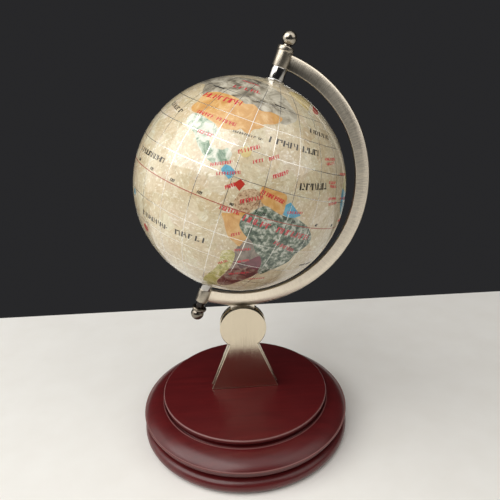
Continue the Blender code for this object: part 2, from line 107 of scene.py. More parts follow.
HUB = Vector(JOINTS["arm_tilt"]["pos_m"])
GLOBE_CENTRE = Vector(JOINTS["globe_spin"]["pos_m"])
AXIS_LEAN = math.atan2(JOINTS["globe_spin"]["axis"][0], JOINTS["globe_spin"]["axis"][2])
STAND = Matrix.Identity(4)
PEDESTAL = Matrix.Translation(HUB)
ARM = frame_at(HUB, GLOBE_CENTRE - HUB)
AXIS = frame_at(GLOBE_CENTRE, JOINTS["globe_spin"]["axis"])

# ---- node helpers


def add(tree, kind, inputs=None, **settings):
    """Adds a shader node, sets its properties, and links or sets its inputs."""
    item = tree.nodes.new(kind)
    for key, value in settings.items():
        setattr(item, key, value)
    for key, value in (inputs or {}).items():
        if isinstance(value, bpy.types.NodeSocket):
            tree.links.new(value, item.inputs[key])
        else:
            item.inputs[key].default_value = value
    return item


def new_material(name, **constants):
    """A material whose shader has the given constant inputs."""
    material = bpy.data.materials.new(name)
    material.use_nodes = True
    tree = material.node_tree
    shader = tree.nodes["Principled BSDF"]
    for key, value in constants.items():
        shader.inputs[key.replace("_", " ")].default_value = value
    return material, tree, shader


def local_position(tree, scale=(1.0, 1.0, 1.0), turn=(0.0, 0.0, 0.0)):
    """Object coordinates in metres, scaled and turned."""
    coordinates = add(tree, "ShaderNodeTexCoord").outputs["Object"]
    return add(tree, "ShaderNodeMapping", {"Vector": coordinates, "Scale": scale,
                                           "Rotation": turn}).outputs["Vector"]


def noise(tree, vector, scale, detail=4.0, roughness=0.55, distortion=0.0, output="Fac"):
    inputs = {"Vector": vector, "Scale": scale, "Detail": detail, "Roughness": roughness,
              "Distortion": distortion}
    return add(tree, "ShaderNodeTexNoise", inputs).outputs[output]


def cells(tree, vector, scale, output="Distance"):
    """Random cells, as the distance from their middles or as a colour for each."""
    return add(tree, "ShaderNodeTexVoronoi", {"Vector": vector, "Scale": scale}).outputs[output]


def separate(tree, vector):
    return add(tree, "ShaderNodeSeparateXYZ", {"Vector": vector}).outputs


def channels(tree, colour):
    return add(tree, "ShaderNodeSeparateColor", {"Color": colour}).outputs


def combine(tree, x, y):
    """A vector from its X and Y."""
    return add(tree, "ShaderNodeCombineXYZ", {"X": x, "Y": y}).outputs["Vector"]


def number_math(tree, operation, *values):
    """The result of an operation on numbers."""
    return add(tree, "ShaderNodeMath", dict(enumerate(values)), operation=operation).outputs[0]


def vector_math(tree, operation, first, second=None):
    """The result of an operation on vectors. A scaling takes its factor second."""
    inputs = {0: first}
    if second is not None:
        inputs["Scale" if operation == "SCALE" else 1] = second
    item = add(tree, "ShaderNodeVectorMath", inputs, operation=operation)
    return item.outputs["Value" if operation in ("LENGTH", "DISTANCE") else "Vector"]


def ramp(tree, factor, stops):
    """A colour ramp over (position, colour) stops."""
    item = add(tree, "ShaderNodeValToRGB", {"Fac": factor})
    elements = item.color_ramp.elements
    while len(elements) < len(stops):
        elements.new(0.5)
    for element, (position, colour) in zip(elements, stops):
        element.position = position
        element.color = (*colour, 1.0)
    return item.outputs["Color"]


def mix(tree, factor, first, second, blend="MIX"):
    """Mixes two colours, each a tuple or a socket."""
    item = add(tree, "ShaderNodeMix", data_type="RGBA", blend_type=blend)
    factor_input, first_input, second_input = (item.inputs[index] for index in (0, 6, 7))
    for socket, value in ((factor_input, factor), (first_input, first), (second_input, second)):
        if isinstance(value, bpy.types.NodeSocket):
            tree.links.new(value, socket)
        else:
            socket.default_value = (*value, 1.0) if isinstance(value, tuple) else value
    return item.outputs[2]


def map_range(tree, value, low, high, new_low, new_high):
    inputs = {"Value": value, "From Min": low, "From Max": high, "To Min": new_low, "To Max": new_high}
    return add(tree, "ShaderNodeMapRange", inputs).outputs["Result"]


def map_mm(tree, length, low, high, new_low, new_high):
    """Maps a length between two lengths in millimetres."""
    return map_range(tree, length, low * MM, high * MM, new_low, new_high)


def bump(tree, height, strength, distance_mm):
    return add(tree, "ShaderNodeBump", {"Height": height, "Strength": strength,
                                        "Distance": distance_mm * MM}).outputs["Normal"]


def dimmed(colour, share):
    return tuple(part * share for part in colour)


def finish_shader(tree, shader, colour, roughness=None, normal=None):
    for key, socket in (("Base Color", colour), ("Roughness", roughness), ("Normal", normal)):
        if socket is not None:
            tree.links.new(socket, shader.inputs[key])


# ---- brushed metals: each grain gives its streaks and normal, and what else it has of
# worn (where the streaks are worn smooth), shade (painted shade: where the colour is darkened) and
# dull (rougher)


def straight_grain(tree, scale, turn=(0.0, 0.0, 0.0)):
    streak = noise(tree, local_position(tree, scale, turn), 1.0, 5.0, 0.7)
    return {"streak": streak, "normal": bump(tree, streak, 0.35, 0.02)}


def turned_grain(tree, shader):
    """Lines along the rod."""
    return straight_grain(tree, (60.0, 900.0, 2600.0), (0.0, -AXIS_LEAN, 0.0))


def upright_grain(tree, shader):
    """Upright lines on the plates; faces looking up get painted shade, and the foot is duller."""
    grain = straight_grain(tree, (1500.0, 900.0, 35.0))
    # painted shade: faces that look upwards, such as the disc's top edge, are darkened
    facing = separate(tree, add(tree, "ShaderNodeNewGeometry").outputs["Normal"])["Z"]
    grain["shade"] = map_range(tree, facing, 0.15, 0.55, 0.0, 0.95)
    height = separate(tree, local_position(tree))["Z"]
    grain["dull"] = map_mm(tree, height, BASE_TOP + 1.1, BASE_TOP + 0.5, 0.0, 0.4)
    return grain


def radial_grain(tree, shader):
    """Lines towards the globe's centre, on a face that rolls over to a polished outer rim.

    Painted shade darkens the arm near the top sleeve and across its inner side, but not its inner rim.
    The lines wear away towards the foot of the arm."""
    position = local_position(tree)
    offset = vector_math(tree, "SUBTRACT", position, GLOBE_CENTRE)
    reach = vector_math(tree, "LENGTH", offset)
    parts = separate(tree, offset)
    around = number_math(tree, "ARCTAN2", parts["X"], parts["Z"])
    space = combine(tree, number_math(tree, "MULTIPLY", around, 105.0),
                    number_math(tree, "MULTIPLY", reach, 130.0))
    streak = noise(tree, space, 1.0, 6.0, 0.8)
    rim = map_mm(tree, reach, ARM_OUTER_RADIUS - 1.9, ARM_OUTER_RADIUS - 1.1, 0.0, 1.0)
    streak = number_math(tree, "MAXIMUM", streak, rim)

    shader.inputs["Anisotropic"].default_value = 0.8
    tangent = vector_math(tree, "CROSS_PRODUCT", (0.0, 1.0, 0.0), offset)
    tree.links.new(vector_math(tree, "NORMALIZE", tangent), shader.inputs["Tangent"])

    # painted shade: darker near the top sleeve and towards the inner side, for the shade and dark
    # reflections there
    sleeve = AXIS @ Vector((0.0, 0.0, SLEEVE_MIDDLE * MM))
    near = vector_math(tree, "DISTANCE", position, sleeve)
    shade = map_mm(tree, near, 4.0, 92.0, 1.0, 0.0)
    inner_side = map_mm(tree, reach, 87.0, 93.2, 1.0, 0.0)
    inner_rim = map_mm(tree, reach, ARM_INNER_RADIUS + 0.3, ARM_INNER_RADIUS + 0.8, 0.0, 1.0)
    for part in (inner_side, inner_rim):
        shade = number_math(tree, "MULTIPLY", shade, part)

    roll = map_mm(tree, reach, ARM_ROLL_START, ARM_OUTER_RADIUS, 0.0, 1.0)
    fall = number_math(tree, "POWER", roll, 2.0)
    relief = number_math(tree, "MULTIPLY_ADD", streak, 0.005, fall)
    relief = number_math(tree, "SUBTRACT", 1.0, relief)
    return {"streak": streak, "normal": bump(tree, relief, 1.0, 1.4), "shade": shade,
            "worn": map_mm(tree, near, 80.0, 165.0, 0.0, 0.85)}


def brushed_metal(name, tint, grain_kind, roughness, contrast=1.0):
    """Satin nickel with the given grain, and faint clouds over it."""
    material, tree, shader = new_material(name, Metallic=1.0)
    grain = grain_kind(tree, shader)
    streak = grain["streak"]
    cloud = noise(tree, local_position(tree), 45.0, 3.0)
    spread = 0.15 / contrast
    lines = map_range(tree, streak, 0.5 - spread, 0.5 + spread, 0.0, 1.0)
    colour = mix(tree, lines, dimmed(tint, 1 - 0.34 * contrast), tint)
    colour = mix(tree, map_range(tree, cloud, 0.40, 0.75, 0.0, 0.25), colour, dimmed(tint, 0.8))
    if "worn" in grain:
        colour = mix(tree, grain["worn"], colour, tint)
    # painted shade: the colour is multiplied darker where the grain's shade mask is high
    if "shade" in grain:
        colour = mix(tree, grain["shade"], colour, (0.13, 0.13, 0.13), "MULTIPLY")
    rough = map_range(tree, streak, 0.3, 0.7, roughness + 0.07, roughness - 0.05)
    rough = number_math(tree, "ADD", rough, map_range(tree, cloud, 0.3, 0.7, -0.03, 0.05))
    if "dull" in grain:
        rough = number_math(tree, "ADD", rough, grain["dull"])
    finish_shader(tree, shader, colour, rough, grain["normal"])
    return material


# ---- other materials of the stand and arm


def polished_metal(name, tint, roughness):
    """Polished chrome or nickel with faint wiping marks and a slightly duller film in places."""
    material, tree, shader = new_material(name, Metallic=1.0)
    film = noise(tree, local_position(tree), 300.0, 4.0)
    wipes = noise(tree, local_position(tree, (400.0, 400.0, 2400.0)), 1.0, 3.0)
    colour = mix(tree, map_range(tree, film, 0.35, 0.75, 0.0, 1.0), tint, dimmed(tint, 0.86))
    rough = map_range(tree, film, 0.3, 0.7, roughness * 0.7, roughness * 1.5)
    finish_shader(tree, shader, colour, rough, bump(tree, wipes, 0.06, 0.01))
    return material


def zinc_steel(name):
    """Bright zinc plating with a cloudy crystalline bloom."""
    material, tree, shader = new_material(name, Metallic=1.0)
    position = local_position(tree)
    cloud = noise(tree, position, 120.0, 5.0)
    colour = ramp(tree, cloud, [(0.3, (0.33, 0.33, 0.34)), (0.7, (0.52, 0.52, 0.54))])
    finish_shader(tree, shader, colour, map_range(tree, cloud, 0.3, 0.7, 0.30, 0.45),
                  bump(tree, cells(tree, position, 420.0), 0.1, 0.02))
    return material


# radius and height of each arris of the base that gets a painted highlight, in millimetres, its width
# and its paleness
ARRIS_HIGHLIGHTS = ((67.0, 32.8, 0.8, 0.50), (67.6, 26.9, 0.8, 0.65), (82.9, 19.6, 0.85, 0.85))


def rub_arrises(tree, colour):
    """Paints a pale highlight along the turned arrises, where their edges catch the light."""
    parts = separate(tree, local_position(tree))
    radius = vector_math(tree, "LENGTH", combine(tree, parts["X"], parts["Y"]))
    place = combine(tree, radius, parts["Z"])
    for x, z, width, paleness in ARRIS_HIGHLIGHTS:
        away = vector_math(tree, "DISTANCE", place, (x * MM, z * MM, 0.0))
        arris_highlight = map_mm(tree, away, width, 0.1, 0.0, paleness)
        # painted highlight: a pale pinkish colour along each arris, standing in for the light it
        # catches
        colour = mix(tree, arris_highlight, colour, (0.34, 0.19, 0.18))
    return colour


def cherry_wood():
    """Close-grained wood under dark cherry stain and satin lacquer."""
    material, tree, shader = new_material("cherry_lacquer", Coat_Weight=0.45, Coat_Roughness=0.25,
                                          Coat_IOR=1.45, Specular_IOR_Level=0.30)
    rings = noise(tree, local_position(tree, (14.0, 120.0, 90.0)), 1.6, 6.0, 0.6, 0.6)
    pores = noise(tree, local_position(tree, (60.0, 1500.0, 1100.0)), 1.0, 3.0)
    stain = noise(tree, local_position(tree), 22.0, 3.0)
    colour = ramp(tree, rings, [(0.30, (0.070, 0.0050, 0.0060)), (0.50, (0.086, 0.0062, 0.0072)),
                                (0.72, (0.104, 0.0078, 0.0086))])
    open_pores = map_range(tree, pores, 0.55, 0.72, 0.0, 0.30)
    colour = mix(tree, open_pores, colour, (0.040, 0.004, 0.005))
    dark_stain = map_range(tree, stain, 0.35, 0.70, 0.0, 0.25)
    # the stained wood gets painted highlights along its turned arrises
    colour = rub_arrises(tree, mix(tree, dark_stain, colour, (0.070, 0.0060, 0.0070)))
    orange_peel = noise(tree, local_position(tree), 900.0, 2.0)
    finish_shader(tree, shader, colour, map_range(tree, stain, 0.3, 0.7, 0.30, 0.42),
                  bump(tree, orange_peel, 0.05, 0.03))
    return material


def felt():
    """Short green pile."""
    material, tree, shader = new_material("green_felt", Sheen_Weight=0.6, Sheen_Roughness=0.5)
    position = local_position(tree)
    pile = noise(tree, position, 1800.0, 4.0, 0.7)
    patch = noise(tree, position, 60.0, 3.0)
    colour = ramp(tree, pile, [(0.3, (0.006, 0.022, 0.010)), (0.7, (0.022, 0.070, 0.032))])
    colour = mix(tree, map_range(tree, patch, 0.3, 0.7, 0.0, 0.4), colour, (0.012, 0.040, 0.020))
    finish_shader(tree, shader, colour, map_range(tree, patch, 0.3, 0.7, 0.88, 0.98),
                  bump(tree, pile, 0.8, 0.2))
    return material


def moulded(name, low, high, roughness):
    """Plain cast or moulded plastic with slight mottling and a fine surface."""
    material, tree, shader = new_material(name)
    position = local_position(tree)
    mottle = noise(tree, position, 90.0, 5.0)
    grain = noise(tree, position, 2400.0, 2.0)
    finish_shader(tree, shader, ramp(tree, mottle, [(0.3, low), (0.7, high)]),
                  map_range(tree, mottle, 0.3, 0.7, roughness - 0.06, roughness + 0.06),
                  bump(tree, grain, 0.25, 0.03))
    return material


# ---- materials of the globe, all under one clear polished lacquer

LACQUER = {"Coat_Weight": 1.0, "Coat_Roughness": 0.035, "Coat_IOR": 1.5}


def facet_normal(tree, cell_colour, amount):
    """Leans the surface's normal by a random amount in each chip."""
    centred = vector_math(tree, "SUBTRACT", cell_colour, (0.5, 0.5, 0.5))
    lean = vector_math(tree, "SCALE", centred, amount)
    surface = add(tree, "ShaderNodeNewGeometry").outputs["Normal"]
    return vector_math(tree, "NORMALIZE", vector_math(tree, "ADD", surface, lean))


def growth_lines(tree, position, chance):
    """Fine wavy lines, turned another way in each chip."""
    turn = number_math(tree, "MULTIPLY", chance, 6.28)
    turned_space = add(tree, "ShaderNodeVectorRotate",
                       {"Vector": position, "Axis": (0.3, -0.8, 0.5), "Angle": turn}).outputs[0]
    space = add(tree, "ShaderNodeMapping",
                {"Vector": turned_space, "Scale": (850.0, 240.0, 420.0)}).outputs[0]
    return noise(tree, space, 1.0, 4.0, 0.65, 0.5)


def mother_of_pearl():
    """Irregular chips of pearly shell, each with its own tone and fine wavy growth lines."""
    material, tree, shader = new_material("mother_of_pearl", IOR=1.5, Specular_IOR_Level=0.5,
                                          **LACQUER)
    position = local_position(tree)
    warp = noise(tree, position, 130.0, 5.0, 0.6, output="Color")
    warped = vector_math(tree, "ADD", position, vector_math(tree, "SCALE", warp, 0.007))
    tone = channels(tree, cells(tree, warped, 120.0, "Color"))
    crumbs = cells(tree, warped, 480.0, "Color")
    lines = growth_lines(tree, position, tone["Green"])
    colour = ramp(tree, tone["Red"], [(0.0, (0.580, 0.465, 0.290)), (0.35, (0.625, 0.510, 0.330)),
                                      (0.70, (0.660, 0.560, 0.380)), (1.0, (0.730, 0.645, 0.475))])
    crumb_share = map_range(tree, channels(tree, crumbs)["Red"], 0.0, 1.0, 0.0, 0.5)
    pale_lines = map_range(tree, lines, 0.53, 0.68, 0.0, 0.95)
    dark_lines = map_range(tree, lines, 0.44, 0.30, 0.0, 0.6)
    for share, tint in ((crumb_share, (0.70, 0.60, 0.43)), (pale_lines, (0.90, 0.86, 0.73)),
                        (dark_lines, (0.46, 0.35, 0.19))):
        colour = mix(tree, share, colour, tint)
    sheen = ramp(tree, tone["Blue"], [(0.0, (1.0, 0.97, 0.93)), (0.5, (0.97, 1.0, 0.97)),
                                      (1.0, (1.0, 0.98, 1.0))])
    colour = mix(tree, 1.0, colour, sheen, "MULTIPLY")
    finish_shader(tree, shader, colour, map_range(tree, lines, 0.3, 0.7, 0.42, 0.26),
                  facet_normal(tree, crumbs, 0.20))
    return material


def stone(name, stops, scale, warp=1.5, fleck=None, fleck_scale=900.0, fleck_amount=0.5):
    """Polished stone with clouded colour and, if asked, small flecks."""
    material, tree, shader = new_material(name, IOR=1.5, **LACQUER)
    position = local_position(tree)
    cloud = noise(tree, position, scale, 6.0, 0.62, warp)
    colour = ramp(tree, cloud, stops)
    if fleck:
        spots = map_range(tree, cells(tree, position, fleck_scale), 0.42, 0.22, 0.0, fleck_amount)
        colour = mix(tree, spots, colour, fleck)
    finish_shader(tree, shader, colour, map_range(tree, cloud, 0.3, 0.7, 0.40, 0.28),
                  bump(tree, cloud, 0.04, 0.02))
    return material


def enamel(name, colour, worn):
    """Thin printed or filled line, broken slightly where it is worn."""
    material, tree, shader = new_material(name, **LACQUER)
    wear = noise(tree, local_position(tree), 900.0, 3.0)
    finish_shader(tree, shader, ramp(tree, wear, [(0.45, colour), (0.75, worn)]),
                  map_range(tree, wear, 0.3, 0.7, 0.35, 0.5), bump(tree, wear, 0.1, 0.01))
    return material


def wire_metal():
    """Fine white-metal wire, polished level with the stones."""
    material, tree, shader = new_material("grid_wire_metal", Metallic=0.85, **LACQUER)
    wear = noise(tree, local_position(tree), 160.0, 3.0)
    colour = ramp(tree, wear, [(0.3, (0.76, 0.74, 0.68)), (0.7, (0.92, 0.90, 0.84))])
    finish_shader(tree, shader, colour, map_range(tree, wear, 0.3, 0.7, 0.15, 0.22),
                  bump(tree, wear, 0.03, 0.01))
    return material


# ---- mesh helpers


def shade_arrises(mesh):
    """Smooth shading with sharp arrises kept."""
    mesh.shade_smooth()
    mesh.set_sharp_from_angle(angle=SHARP_ANGLE)


def finished_mesh(name, work, smooth=True):
    """A mesh from the worked faces, all facing outwards."""
    mesh = bpy.data.meshes.new(name)
    bmesh.ops.recalc_face_normals(work, faces=work.faces)
    work.to_mesh(mesh)
    work.free()
    if smooth:
        shade_arrises(mesh)
    return mesh


def new_piece(name, mesh, material, matrix, body, replaced=()):
    """Puts a mesh in place, gives it its material and lets it ride on its body."""
    mesh.transform(matrix)
    mesh.materials.append(material)
    piece = bpy.data.objects.new(name, mesh)
    bpy.context.scene.collection.objects.link(piece)
    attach(piece, body)
    if replaced:
        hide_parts(*replaced)
    return piece


def arc(centre, radius, start, end, count):
    """Points on an arc, with angles in degrees from the first axis."""
    points = []
    for index in range(count + 1):
        angle = math.radians(start + (end - start) * index / count)
        points.append((centre[0] + radius * math.cos(angle), centre[1] + radius * math.sin(angle)))
    return points


def rounded(points, closed=False, segments=4):
    """Puts an arc with a radius of CORNER_ARC at each corner that has a third value.

    The third value is how far the arc's centre lies inside both sides of the corner. Where it is
    less than CORNER_ARC, the arc stands out past the sides by the rest."""
    result = []
    count = len(points)
    for index, point in enumerate(points):
        corner = Vector(point[:2])
        open_end = not closed and index in (0, count - 1)
        if len(point) < 3 or open_end:
            result.append(tuple(corner))
            continue
        before = (Vector(points[index - 1][:2]) - corner).normalized()
        after = (Vector(points[(index + 1) % count][:2]) - corner).normalized()
        half = before.angle(after) / 2
        centre = corner + (before + after).normalized() * point[2] / math.sin(half)
        start = corner + before * point[2] / math.tan(half) - centre
        end = corner + after * point[2] / math.tan(half) - centre
        for step in range(segments + 1):
            away = start.slerp(end, step / segments)     # always of length 1
            result.append(tuple(centre + away * CORNER_ARC))
    return result


def turned_mesh(name, profile, steps, closed):
    """A turned solid. The profile, in millimetres, runs down the outer side."""
    work = bmesh.new()
    rings = []
    for radius, height in profile:
        if radius < 1e-6:
            rings.append([work.verts.new((0.0, 0.0, height * MM))])
            continue
        ring = []
        for index in range(steps):
            angle = 2 * math.pi * index / steps
            x, y = radius * MM * math.cos(angle), radius * MM * math.sin(angle)
            ring.append(work.verts.new((x, y, height * MM)))
        rings.append(ring)
    pairs = list(zip(rings, rings[1:]))
    if closed:
        pairs.append((rings[-1], rings[0]))
    for upper, lower in pairs:
        if len(upper) == 1 and len(lower) == 1:
            continue
        for index in range(steps):
            following = (index + 1) % steps
            corners = [upper[index % len(upper)], lower[index % len(lower)],
                       lower[following % len(lower)], upper[following % len(upper)]]
            work.faces.new(list(dict.fromkeys(corners)))
    return finished_mesh(name, work)


def turned(name, profile, material, matrix, body, replaced=(), steps=64, closed=False):
    mesh = turned_mesh(name, rounded(profile, closed), steps, closed)
    return new_piece(name, mesh, material, matrix, body, replaced)


def ring(outer, inner, low, high, edge):
    """Closed profile of a tube or washer with rounded outer edges."""
    return [(outer, high, edge), (outer, low, edge), (inner, low), (inner, high)]


def flat_mesh(name, outline, thickness):
    """A flat outline in the local XZ plane, thickened evenly along Y."""
    work = bmesh.new()
    half = thickness * MM / 2
    front = [work.verts.new((x * MM, -half, z * MM)) for x, z in outline]
    rear = [work.verts.new((x * MM, half, z * MM)) for x, z in outline]
    work.faces.new(front)
    work.faces.new(rear[::-1])
    for index in range(len(outline)):
        following = (index + 1) % len(outline)
        work.faces.new((front[index], rear[index], rear[following], front[following]))
    return finished_mesh(name, work)


def weigh_rim(piece, centre, radius, other):
    """Marks the edges of a round rim for full rounding and all other arrises for a part of it."""
    work = bmesh.new()
    work.from_mesh(piece.data)
    weight = work.edges.layers.float.new("bevel_weight_edge")
    for edge in work.edges:
        if len(edge.link_faces) == 2 and edge.calc_face_angle() > ARRIS_ANGLE:
            reaches = [(Vector((vertex.co.x, centre.y, vertex.co.z)) - centre).length
                       for vertex in edge.verts]
            on_rim = max(abs(reach - radius * MM) for reach in reaches) < 0.1 * MM
            edge[weight] = 1.0 if on_rim else other
    work.to_mesh(piece.data)
    work.free()


def soften_edges(piece, width, segments=4, limit="ANGLE"):
    """Rolls a piece's arrises over, by their angle or by their weight."""
    edge = piece.modifiers.new("rolled_edge", "BEVEL")
    edge.width = width * MM
    edge.segments = segments
    edge.limit_method = limit
    edge.angle_limit = ARRIS_ANGLE
    edge.harden_normals = True


def cut_with(piece, mesh, matrix):
    """Subtracts a closed mesh from a piece for good."""
    tool = bpy.data.objects.new(piece.name + "_cut", mesh)
    bpy.context.scene.collection.objects.link(tool)
    tool.matrix_world = matrix
    cut = piece.modifiers.new("cut", "BOOLEAN")
    cut.operation = "DIFFERENCE"
    cut.solver = "EXACT"
    cut.object = tool
    graph = bpy.context.evaluated_depsgraph_get()
    result = bpy.data.meshes.new_from_object(piece.evaluated_get(graph))
    piece.modifiers.clear()
    piece.data = result
    bpy.data.objects.remove(tool, do_unlink=True)


def facing_y(x, y, z):
    """A frame at a place in millimetres whose local Z points along world Y."""
    return Matrix.Translation((x * MM, y * MM, z * MM)) @ Matrix.Rotation(math.radians(-90), 4, "X")


# ---- base and pedestal


def base_profile():
    """Top disc, groove, rounded shoulder, fillet, groove and half-round foot."""
    disc = [(0.0, BASE_TOP), (67.1, BASE_TOP, 0.7), (66.7, 30.6, 0.5), (65.3, 29.2, 0.4),
            (65.2, 25.6, 0.3)]
    groove = [(67.4, 25.6, 0.2), (67.5, 26.9, 0.3)]
    shoulder = []
    for index in range(21):
        angle = math.radians(86 - 56 * index / 20)
        shoulder.append((66.6 + 18.6 * math.cos(angle), 12.95 + 13.97 * math.sin(angle)))
    fillet = [(82.9, 19.45, 0.2), (82.0, 19.1), (81.2, 14.6, 0.9), (78.4, 13.4, 0.4),
              (78.2, 11.9, 0.4)]
    foot = arc((78.95, 6.0), 5.2, 82, -90, 24)
    return disc + groove + shoulder + fillet + foot + [(77.0, 0.8), (76.5, 1.3), (0.0, 1.3)]


def make_base(wood):
    turned("turned_base", base_profile(), wood, STAND, "stand", ["base_plinth"], 256)


def keyhole_outline():
    """A disc on a flared foot, about the hub's centre."""
    foot = BASE_TOP + 0.15 - HUB_HEIGHT
    waist = -math.sqrt(PLATE_DISC_RADIUS ** 2 - PLATE_WAIST_HALF ** 2)
    start = math.degrees(math.atan2(waist, PLATE_WAIST_HALF))
    disc = arc((0, 0), PLATE_DISC_RADIUS, start + 4, 176 - start, 96)
    corners = [(-PLATE_WAIST_HALF, waist, 0.5), (-PLATE_FOOT_HALF, foot), (PLATE_FOOT_HALF, foot),
               (PLATE_WAIST_HALF, waist, 0.5)]
    return rounded(disc + corners, closed=True)


def make_pedestal(metal):
    outline = keyhole_outline()
    middle = (PLATE_SPACE + PLATE_THICKNESS) / 2 * MM
    for name, side in (("front_plate", -1), ("rear_plate", 1)):
        place = Matrix.Translation((0, side * middle, 0)) @ PEDESTAL
        mesh = flat_mesh(name, outline, PLATE_THICKNESS)
        plate = new_piece("brushed_" + name, mesh, metal, place, "stand", [name])
        soften_edges(plate, 0.75)


def make_rear_screws(metal):
    """Button-head screws with hexagonal sockets."""
    seat = PLATE_SPACE / 2 + PLATE_THICKNESS
    places = {"clamp_screw_left": (-14.0, 42.0, 3.0), "clamp_screw_right": (14.0, 42.0, 3.0),
              "pivot_screw": (0.0, HUB_HEIGHT, 3.8)}
    for name, (x, z, radius) in places.items():
        head = [(0.0, 2.45), (0.62 * radius, 2.45, 0.5), (radius, 1.3, 0.8), (radius, 0.05, 0.1),
                (1.5, 0.05), (1.5, -3.0), (0.0, -3.0)]
        matrix = facing_y(x, seat, z)
        screw = turned("button_" + name, head, metal, matrix, "stand", [name], 48)
        socket = [(0.0, 3.5), (1.45, 3.5), (1.45, 1.15), (0.0, 1.15)]
        cut_with(screw, turned_mesh("hex_key", socket, 6, False), matrix)
        shade_arrises(screw.data)


# ---- arm and its fittings


def arm_outline():
    """The C of the arm, its neck and its hub, about the hub's centre."""
    centre = (0.0, GLOBE_ABOVE_HUB)
    outer_end = math.degrees(math.asin(ARM_END / ARM_OUTER_RADIUS))
    inner_end = math.degrees(math.asin(ARM_END / ARM_INNER_RADIUS))
    top = 90 - AXIS_TILT
    neck_clear = math.degrees(math.asin((NECK_HALF + 4.0) / ARM_OUTER_RADIUS))
    neck_top = GLOBE_ABOVE_HUB - math.sqrt(ARM_OUTER_RADIUS ** 2 - NECK_HALF ** 2)
    hub_start = math.degrees(math.acos(NECK_HALF / HUB_RADIUS))
    right = arc(centre, ARM_OUTER_RADIUS, top - outer_end, -90 + neck_clear, 110)
    left = arc(centre, ARM_OUTER_RADIUS, -90 - neck_clear, top - 180 + outer_end, 12)
    inner = arc(centre, ARM_INNER_RADIUS, top - 180 + inner_end, top - inner_end, 120)
    hub = arc((0, 0), HUB_RADIUS, hub_start, -180 - hub_start, 48)
    neck_right, neck_left = (NECK_HALF, neck_top, 1.8), (-NECK_HALF, neck_top, 1.8)
    return rounded(right + [neck_right] + hub + [neck_left] + left + inner, closed=True)


def make_arm(metal):
    """The flat C with its bored hub. Its outer rim is rolled over further than its other edges."""
    mesh = flat_mesh("c_arm", arm_outline(), ARM_THICKNESS)
    arm = new_piece("brushed_c_arm", mesh, metal, ARM, "arm", ["meridian_arm"])
    bore = [(0, 6), (PIN_RADIUS + 0.15, 6), (PIN_RADIUS + 0.15, -6), (0, -6)]
    cut_with(arm, turned_mesh("hub_bore", bore, 48, False), facing_y(0, 0, HUB_HEIGHT))
    shade_arrises(arm.data)
    weigh_rim(arm, GLOBE_CENTRE, ARM_OUTER_RADIUS, 0.4)
    soften_edges(arm, 1.6, 6, "WEIGHT")


def make_fittings(nickel, chrome, dark, finial, tarnished):
    """Sleeves, collars, washers, rings and finials along the rod, from the globe's centre."""
    top_ball = arc((0, 103.0), BALL_RADIUS, 90, -59, 22)
    top_ball[0] = (0.0, 103.0 + BALL_RADIUS)
    finial_ring = [(4.6, -101.3, 0.2), (4.95, -101.5, 0.2), (4.95, -102.4, 0.3), (4.0, -102.75)]
    bottom_ball = arc((0, -106.6), BALL_RADIUS, 47, -90, 22)
    bottom_ball[-1] = (0.0, -106.6 - BALL_RADIUS)
    tubes = {
        "top_sleeve": (ring(4.8, 3.0, 84.25, 94.35, 0.35), nickel, "brushed_nickel"),
        "bottom_sleeve": (ring(4.2, 3.0, -95.0, -84.9, 0.35), nickel, "brushed_nickel"),
        "top_collar": (ring(5.05, 3.0, 75.8, 84.0, 0.45), chrome, "polished_chrome"),
        "bottom_collar": (ring(3.95, 3.0, -84.6, -75.9, 0.3), chrome, "polished_chrome"),
        "north_pole_washer": (ring(6.2, 3.0, 75.15, 75.6, 0.2), chrome, "polished_chrome"),
        "south_pole_washer": (ring(5.0, 3.0, -75.6, -75.15, 0.2), chrome, "polished_chrome"),
        "top_lock_ring": (ring(5.1, 1.8, 94.6, 97.3, 0.5), nickel, "brushed_nickel"),
    }
    for name, (profile, material, slot) in tubes.items():
        turned("turned_" + name, profile, material, AXIS, "arm", [name], closed=True)
    turned("turned_top_finial", top_ball + [(2.6, 98.4), (2.75, 97.35), (0.0, 97.35)], finial,
           AXIS, "arm", ["top_finial"])
    # the bottom finial is a darker copy of the finial nickel: painted shade for the dark it reflects
    turned("turned_bottom_finial", [(0.0, -101.3)] + finial_ring + bottom_ball, tarnished,
           AXIS, "arm", ["bottom_finial"])
    turned("turned_rod", [(0.0, 94.0), (2.85, 94.0, 0.3), (2.85, -101.2, 0.3), (0.0, -101.2)], dark,
           AXIS, "arm", ["axle_rod"], 48)


# ---- globe


def direction(longitude, latitude):
    """Unit vector in the globe's frame for a place on its map, in degrees along the globe."""
    around = math.radians(longitude - FACING_LONGITUDE)
    rise = math.radians(latitude)
    return Vector((math.cos(rise) * math.sin(around), -math.cos(rise) * math.cos(around),
                   math.sin(rise)))


def globe_piece(name, work, material, smooth=True):
    """Finishes a piece of the inlay, which rides on the globe."""
    mesh = finished_mesh(name, work, smooth)
    new_piece(name, mesh, material, AXIS, "globe")


def half_shell_profile(rows):
    """Closed profile of the northern half, from the pole's hole to the equator and back inside."""
    profile = []
    for radius, turn in ((GLOBE_RADIUS, 1), (GLOBE_RADIUS - INLAY_THICKNESS, -1)):
        first = math.asin(POLE_HOLE / radius)
        side = []
        for index in range(rows + 1):
            polar = first + (math.pi / 2 - first) * index / rows
            side.append((radius * math.sin(polar), radius * math.cos(polar)))
        profile += side[::turn]
    return profile


def make_sea(material):
    """The two halves of the shell, the southern one turned over."""
    profile = half_shell_profile(64)
    over = Matrix.Rotation(math.pi, 4, "X")
    for name, matrix in (("north", AXIS), ("south", AXIS @ over)):
        turned("shell_sea_" + name, profile, material, matrix, "globe", ["inlay_shell_" + name],
               192, closed=True)


